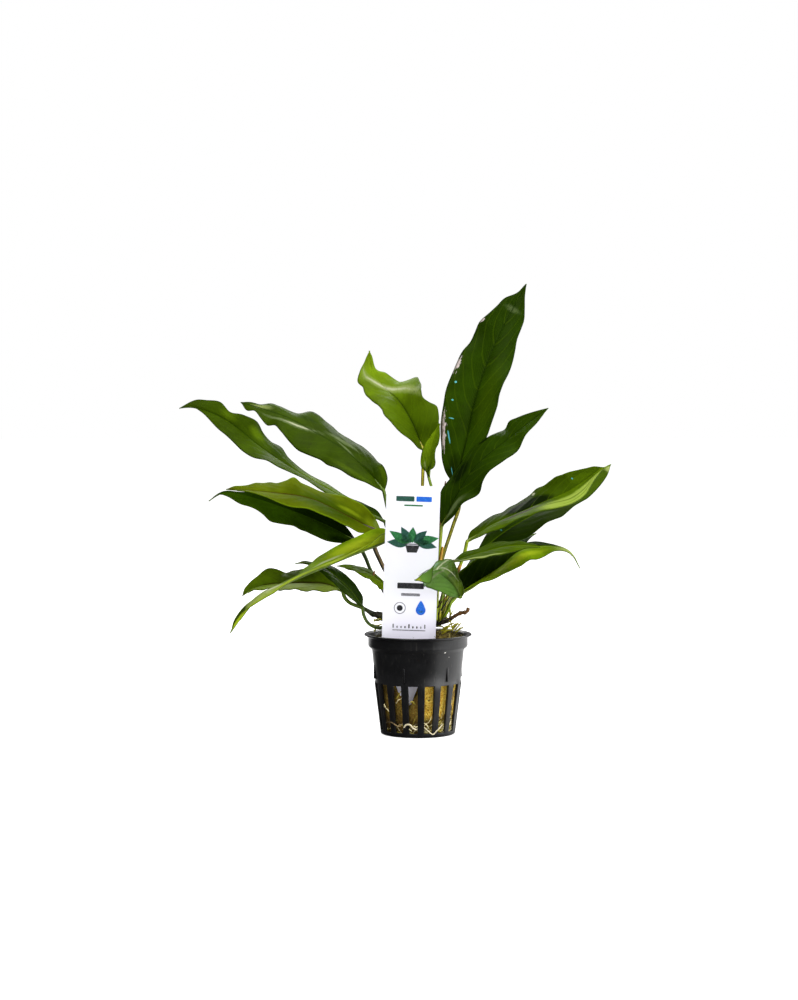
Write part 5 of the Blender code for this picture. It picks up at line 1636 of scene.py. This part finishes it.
# %% Small roots and the tangle low in the pot
TANGLED_ROOTS = 95
thin_roots = []
for route, size in MORE_ROOTS:
    line = smooth_path([wall_place(*place) for place in route], 14)
    thin_roots.append([(*p, size * (1 - 0.3 * k / 13)) for k, p in enumerate(line)])
for _ in range(TANGLED_ROOTS):
    turn = chance.uniform(-80, 75) if chance.random() < 0.4 else chance.uniform(0, 75)
    z = chance.triangular(1.8, 9.0 if turn > 20 else 7.0, 3)
    rise = chance.gauss(0, 0.5)
    size = chance.uniform(0.08, 0.22)
    rows = []
    for k in range(9):
        rows.append((*wall_place(turn, z, -1.25 + 0.35 * math.sin(0.8 * k + z)), size * (1 - 0.06 * k)))
        turn += chance.uniform(1.2, 2.4)
        rise = 0.7 * rise + chance.gauss(0, 0.45)
        z = max(1.6, z + rise)
    thin_roots.append(rows)
golden_root = stalk_skin("golden_root", "straw", "young root", "straw", "brown", 0.8, 0.45, 3.0, 0.3)
fibre_mesh("small_slot_roots", thin_roots[::2], young_root, 2)
fibre_mesh("golden_slot_roots", thin_roots[1::2], golden_root, 2)
print("smaller roots:", len(thin_roots))

# %% [markdown]
# Thin yellow-green rootlets leave the creeping stem and dip back into the wool on both sides of the tag.

# %% Rootlets at the crown
ROOTLETS = [
    [(13.4, -5, 57), (15.4, -6, 57.6), (17.4, -6, 58.8)],
    [(14.6, -7, 55), (16.4, -7.4, 56.6), (18.4, -7.4, 57.2)],
    [(18.7, -8, 53.8), (20.2, -9, 55.6), (22, -9, 57.6)],
    [(17.6, -8, 54.2), (19.4, -8.6, 56.2), (20.4, -9, 57.8)],
    [(11.6, -8, 53.2), (14.2, -9, 54.9), (15.9, -9, 56.8)],
    [(13, -9, 52.6), (15.2, -9.6, 53.8), (17.8, -9.6, 54.2)],
    [(19, -7, 52.6), (21, -7.6, 54), (22.8, -8, 55.2)],
    [(10.6, -6, 55.6), (12.4, -7.5, 55.4), (14.6, -8, 53.4)],
    [(12.2, -8, 51.8), (13.6, -9, 53.6), (15.4, -9.6, 55.4)],
    [(20.2, -6, 53.4), (21.6, -6.4, 54.6), (23.2, -6.6, 54.6)],
    [(-22.6, -3, 58.5), (-20.6, -3.6, 58.1), (-18.4, -3, 58.6)],
    [(-23.4, -3, 56), (-21, -4, 55.6), (-18.4, -3, 56.3)],
    [(-22.4, -4, 57.9), (-20.8, -4.4, 58.9), (-19, -4, 59.2)],
    [(12.8, -9, 54.4), (14.6, -9.8, 55.8), (17, -9.8, 55.4)],
    [(17.4, -9, 55.4), (19.2, -9.4, 57), (21.4, -9.4, 56.6)],
    [(-22.2, -4, 52.6), (-21.4, -4.4, 54.4), (-19.6, -4, 55.4)],
    [(12, 3, 58), (15, 6, 58.4), (17, 8, 56), (18, 9, 51)],
    [(2, 4.6, 57), (3, 8, 57.6), (4, 11, 55), (4.4, 12.4, 50.8)],
    [(-6, 4.4, 57), (-7, 8, 57), (-8, 10.6, 54.6)],
]
rootlet_rows = []
for k, route in enumerate(ROOTLETS):
    line = smooth_path(route, 16)
    rootlet_rows.append([(*p, 0.5 - 0.014 * j) for j, p in enumerate(line)])
rootlet_skin = stalk_skin("rootlet_skin", "gold", "gilt", "gold", "olive", 0.3, 0.5, 3.0, 0.3)
fibre_mesh("crown_rootlets", rootlet_rows, rootlet_skin, 2)
print("rootlets:", len(rootlet_rows))

# %% [markdown]
# The tag is a thin sheet of white plastic, rounded at its top corners. Its solid already has that shape, so
# it stays and only gets its finish: almost white, with a faint lavender cast, a fine grain, and a silkier
# sheen where it was handled.

# %% Tag card
card, tree, here = new_finish("tag_card")
tint = cloudy(tree, here, 28.0)
grain = cloudy(tree, here, 1500.0, 3.0)
lavender, cool_white = rgba((0.79, 0.77, 0.88)), rgba((0.82, 0.825, 0.87))
cast = blend_colours(tree, remap(tree, tint, 0.35, 0.65), lavender, cool_white)
height_here = add_node(tree, "SeparateXYZ", {0: here}).outputs[2]
# Painted light: below the pot's rim the card is blended a little lighter and bluer, against the pot's shade.
damp_top_and_lightened_foot = remap(tree, sums(tree, 'MULTIPLY_ADD', tint, 0.006, height_here), 0.0545, 0.06, 0.35, 0.0)
cast = blend_colours(tree, damp_top_and_lightened_foot, cast, rgba((0.8, 0.79, 0.9)))
smudge = sums(tree, 'MULTIPLY', remap(tree, grain, 0.62, 0.75), 0.1)
cast = blend_colours(tree, smudge, cast, rgba((0.6, 0.58, 0.62)))
bump = add_node(tree, "Bump", {"Height": grain, "Strength": 0.05, "Distance": 0.1 * MM})
plug_in(tree, cast, remap(tree, tint, 0.3, 0.7, 0.36, 0.5), bump.outputs[0])
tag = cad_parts["plant_label"]
tag.data.materials.clear()
tag.data.materials.append(card)
print("tag (mm):", [round(x / MM, 1) for x in tag.dimensions])

# %% [markdown]
# The print is a plain design of this script's own: a tuft of broad leaves in a bowl, bars where lines of
# words would be, a drop, a ring and a row of ticks. Each shape is a flat face a hair's breadth thick, drawn
# on the tag's own plane and then leaned with it. No letter is drawn.

# %% Helpers for the print
LABEL_LEAN_SIDE = math.radians(1.9)
LABEL_LEAN_BACK = math.radians(1.5)
INK_LIFT = 0.28
INK_THICK = 0.03
inks = bmesh.new()


def ink_shape(points, ink):
    face = inks.faces.new([inks.verts.new((x, -INK_LIFT, z)) for x, z in points])
    face.material_index = ink


def bar(left, right, low, high, ink):
    """A bar with clipped corners, as a line of words looks from a step away."""
    c = min(0.25, (high - low) * 0.3)
    ink_shape([(left + c, low), (right - c, low), (right, low + c), (right, high - c), (right - c, high),
               (left + c, high), (left, high - c), (left, low + c)], ink)


def pointed_leaf(foot, turn, length, width, ink):
    """A leaf with a bent tip: turn is degrees from upright, to the right."""
    outline = []
    for side in (1, -1):
        for k in range(10):
            t = k / 10 if side > 0 else 1 - k / 10
            x = side * width / 2 * math.sin(math.pi * t ** 0.8) + 0.12 * length * t * t
            a = math.radians(turn)
            outline.append((foot[0] + x * math.cos(a) + length * t * math.sin(a),
                            foot[1] - x * math.sin(a) + length * t * math.cos(a)))
    ink_shape(outline, ink)


def ring(centre, outer, hole, ink, count=28):
    """A ring as a row of short bent pieces."""
    for k in range(count):
        a, b = math.tau * k / count, math.tau * (k + 1) / count
        ink_shape([(centre[0] + r * math.cos(t), centre[1] + r * math.sin(t))
                   for r, t in ((hole, a), (outer, a), (outer, b), (hole, b))], ink)


print("ink thickness (mm):", INK_THICK)

# %% [markdown]
# The shapes are laid out from the top of the tag down, in millimetres from its foot. At the end all of them
# get their thickness at once, lean with the tag and move to its place.

# %% Lay out the print
GREEN, LEAF_GREEN, BLACK, GREY, BLUE, LIGHT_BLUE = range(6)
bar(-8.6, 0.6, 68.4, 71.0, GREEN)
bar(1.6, 9.4, 68.4, 71.0, BLUE)
bar(-4.5, 5.0, 66.0, 66.8, LEAF_GREEN)
for turn, length, width, ink in ((-96, 11.0, 4.6, GREEN), (94, 10.5, 4.4, GREEN), (-68, 12, 4.6, LEAF_GREEN),
                                 (70, 12, 4.8, LEAF_GREEN), (-40, 9.5, 4.4, GREEN), (38, 9.0, 4.2, GREEN),
                                 (-6, 8.0, 4.4, LEAF_GREEN)):
    pointed_leaf((0.4 + 0.02 * turn, 47.5), turn, length, width, ink)
ink_shape([(-3.2, 46.2), (-2.2, 42.6), (2.6, 42.6), (4.0, 46.2)], BLACK)
ink_shape([(-3.8, 47.2), (-3.8, 46.4), (4.6, 46.4), (4.6, 47.2)], GREY)
bar(-6.6, 6.8, 24.3, 27.2, BLACK)
bar(-4.6, 5.0, 20.6, 22.0, GREY)
ring((-5.0, 14.4), 3.0, 2.6, GREY)
ring((-5.0, 14.4), 1.5, 0.0, BLACK)
drop = []
for k in range(20):
    t = math.tau * k / 20
    lift = 2.4 * max(0, 1 - abs(k - 10) / 3)
    drop.append((5.6 + 2.5 * math.sin(t), 13.6 - 2.5 * math.cos(t) + lift))
ink_shape(drop, BLUE)
bar(4.6, 6.6, 12.4, 13.2, LIGHT_BLUE)
for k in range(9):
    bar(-8.4 + 2.0 * k, -7.7 + 2.0 * k, 4.2, 6.4 if k % 4 == 0 else 5.4, BLACK if 2 < k < 7 else GREY)
bar(-8.4, 8.3, 3.0, 3.5, GREY)
grown = bmesh.ops.extrude_face_region(inks, geom=list(inks.faces))["geom"]
lifted = [item for item in grown if isinstance(item, bmesh.types.BMVert)]
bmesh.ops.translate(inks, verts=lifted, vec=(0, -INK_THICK, 0))
bmesh.ops.recalc_face_normals(inks, faces=inks.faces)
lean = Euler((-LABEL_LEAN_BACK, LABEL_LEAN_SIDE, 0)).to_matrix().to_4x4()
bmesh.ops.transform(inks, verts=inks.verts, matrix=Matrix.Translation(LABEL_FOOT) @ lean)
bmesh.ops.scale(inks, verts=inks.verts, vec=(MM, MM, MM))
print("ink faces:", len(inks.faces))

# %% [markdown]
# Printing ink on plastic has thin spots. One short material does for all six colours.

# %% Ink finishes
def printing_ink(name, colour, thin):
    finish, tree, here = new_finish(name)
    spots = cloudy(tree, here, 1300.0)
    shade = blend_colours(tree, remap(tree, spots, 0.45, 0.7), rgba(colour), rgba(thin))
    plug_in(tree, shade, remap(tree, spots, 0.3, 0.7, 0.35, 0.5))
    return finish


INKS = {
    # name: (full colour, thin colour), in the order of the numbers above
    "ink_dark_green": ((0.008, 0.06, 0.04), (0.02, 0.1, 0.07)),
    "ink_leaf_green": ((0.01, 0.12, 0.03), (0.03, 0.2, 0.06)),
    "ink_black": ((0.012, 0.012, 0.014), (0.04, 0.04, 0.045)),
    "ink_grey": ((0.17, 0.17, 0.19), (0.3, 0.3, 0.33)),
    "ink_blue": ((0.003, 0.1, 0.55), (0.01, 0.17, 0.65)),
    "ink_light_blue": ((0.1, 0.4, 0.8), (0.2, 0.5, 0.85)),
}
ink_finishes = [printing_ink(name, *pair) for name, pair in INKS.items()]
finish_piece("tag_print", inks, ink_finishes, smooth=False)
print("inks:", len(INKS))
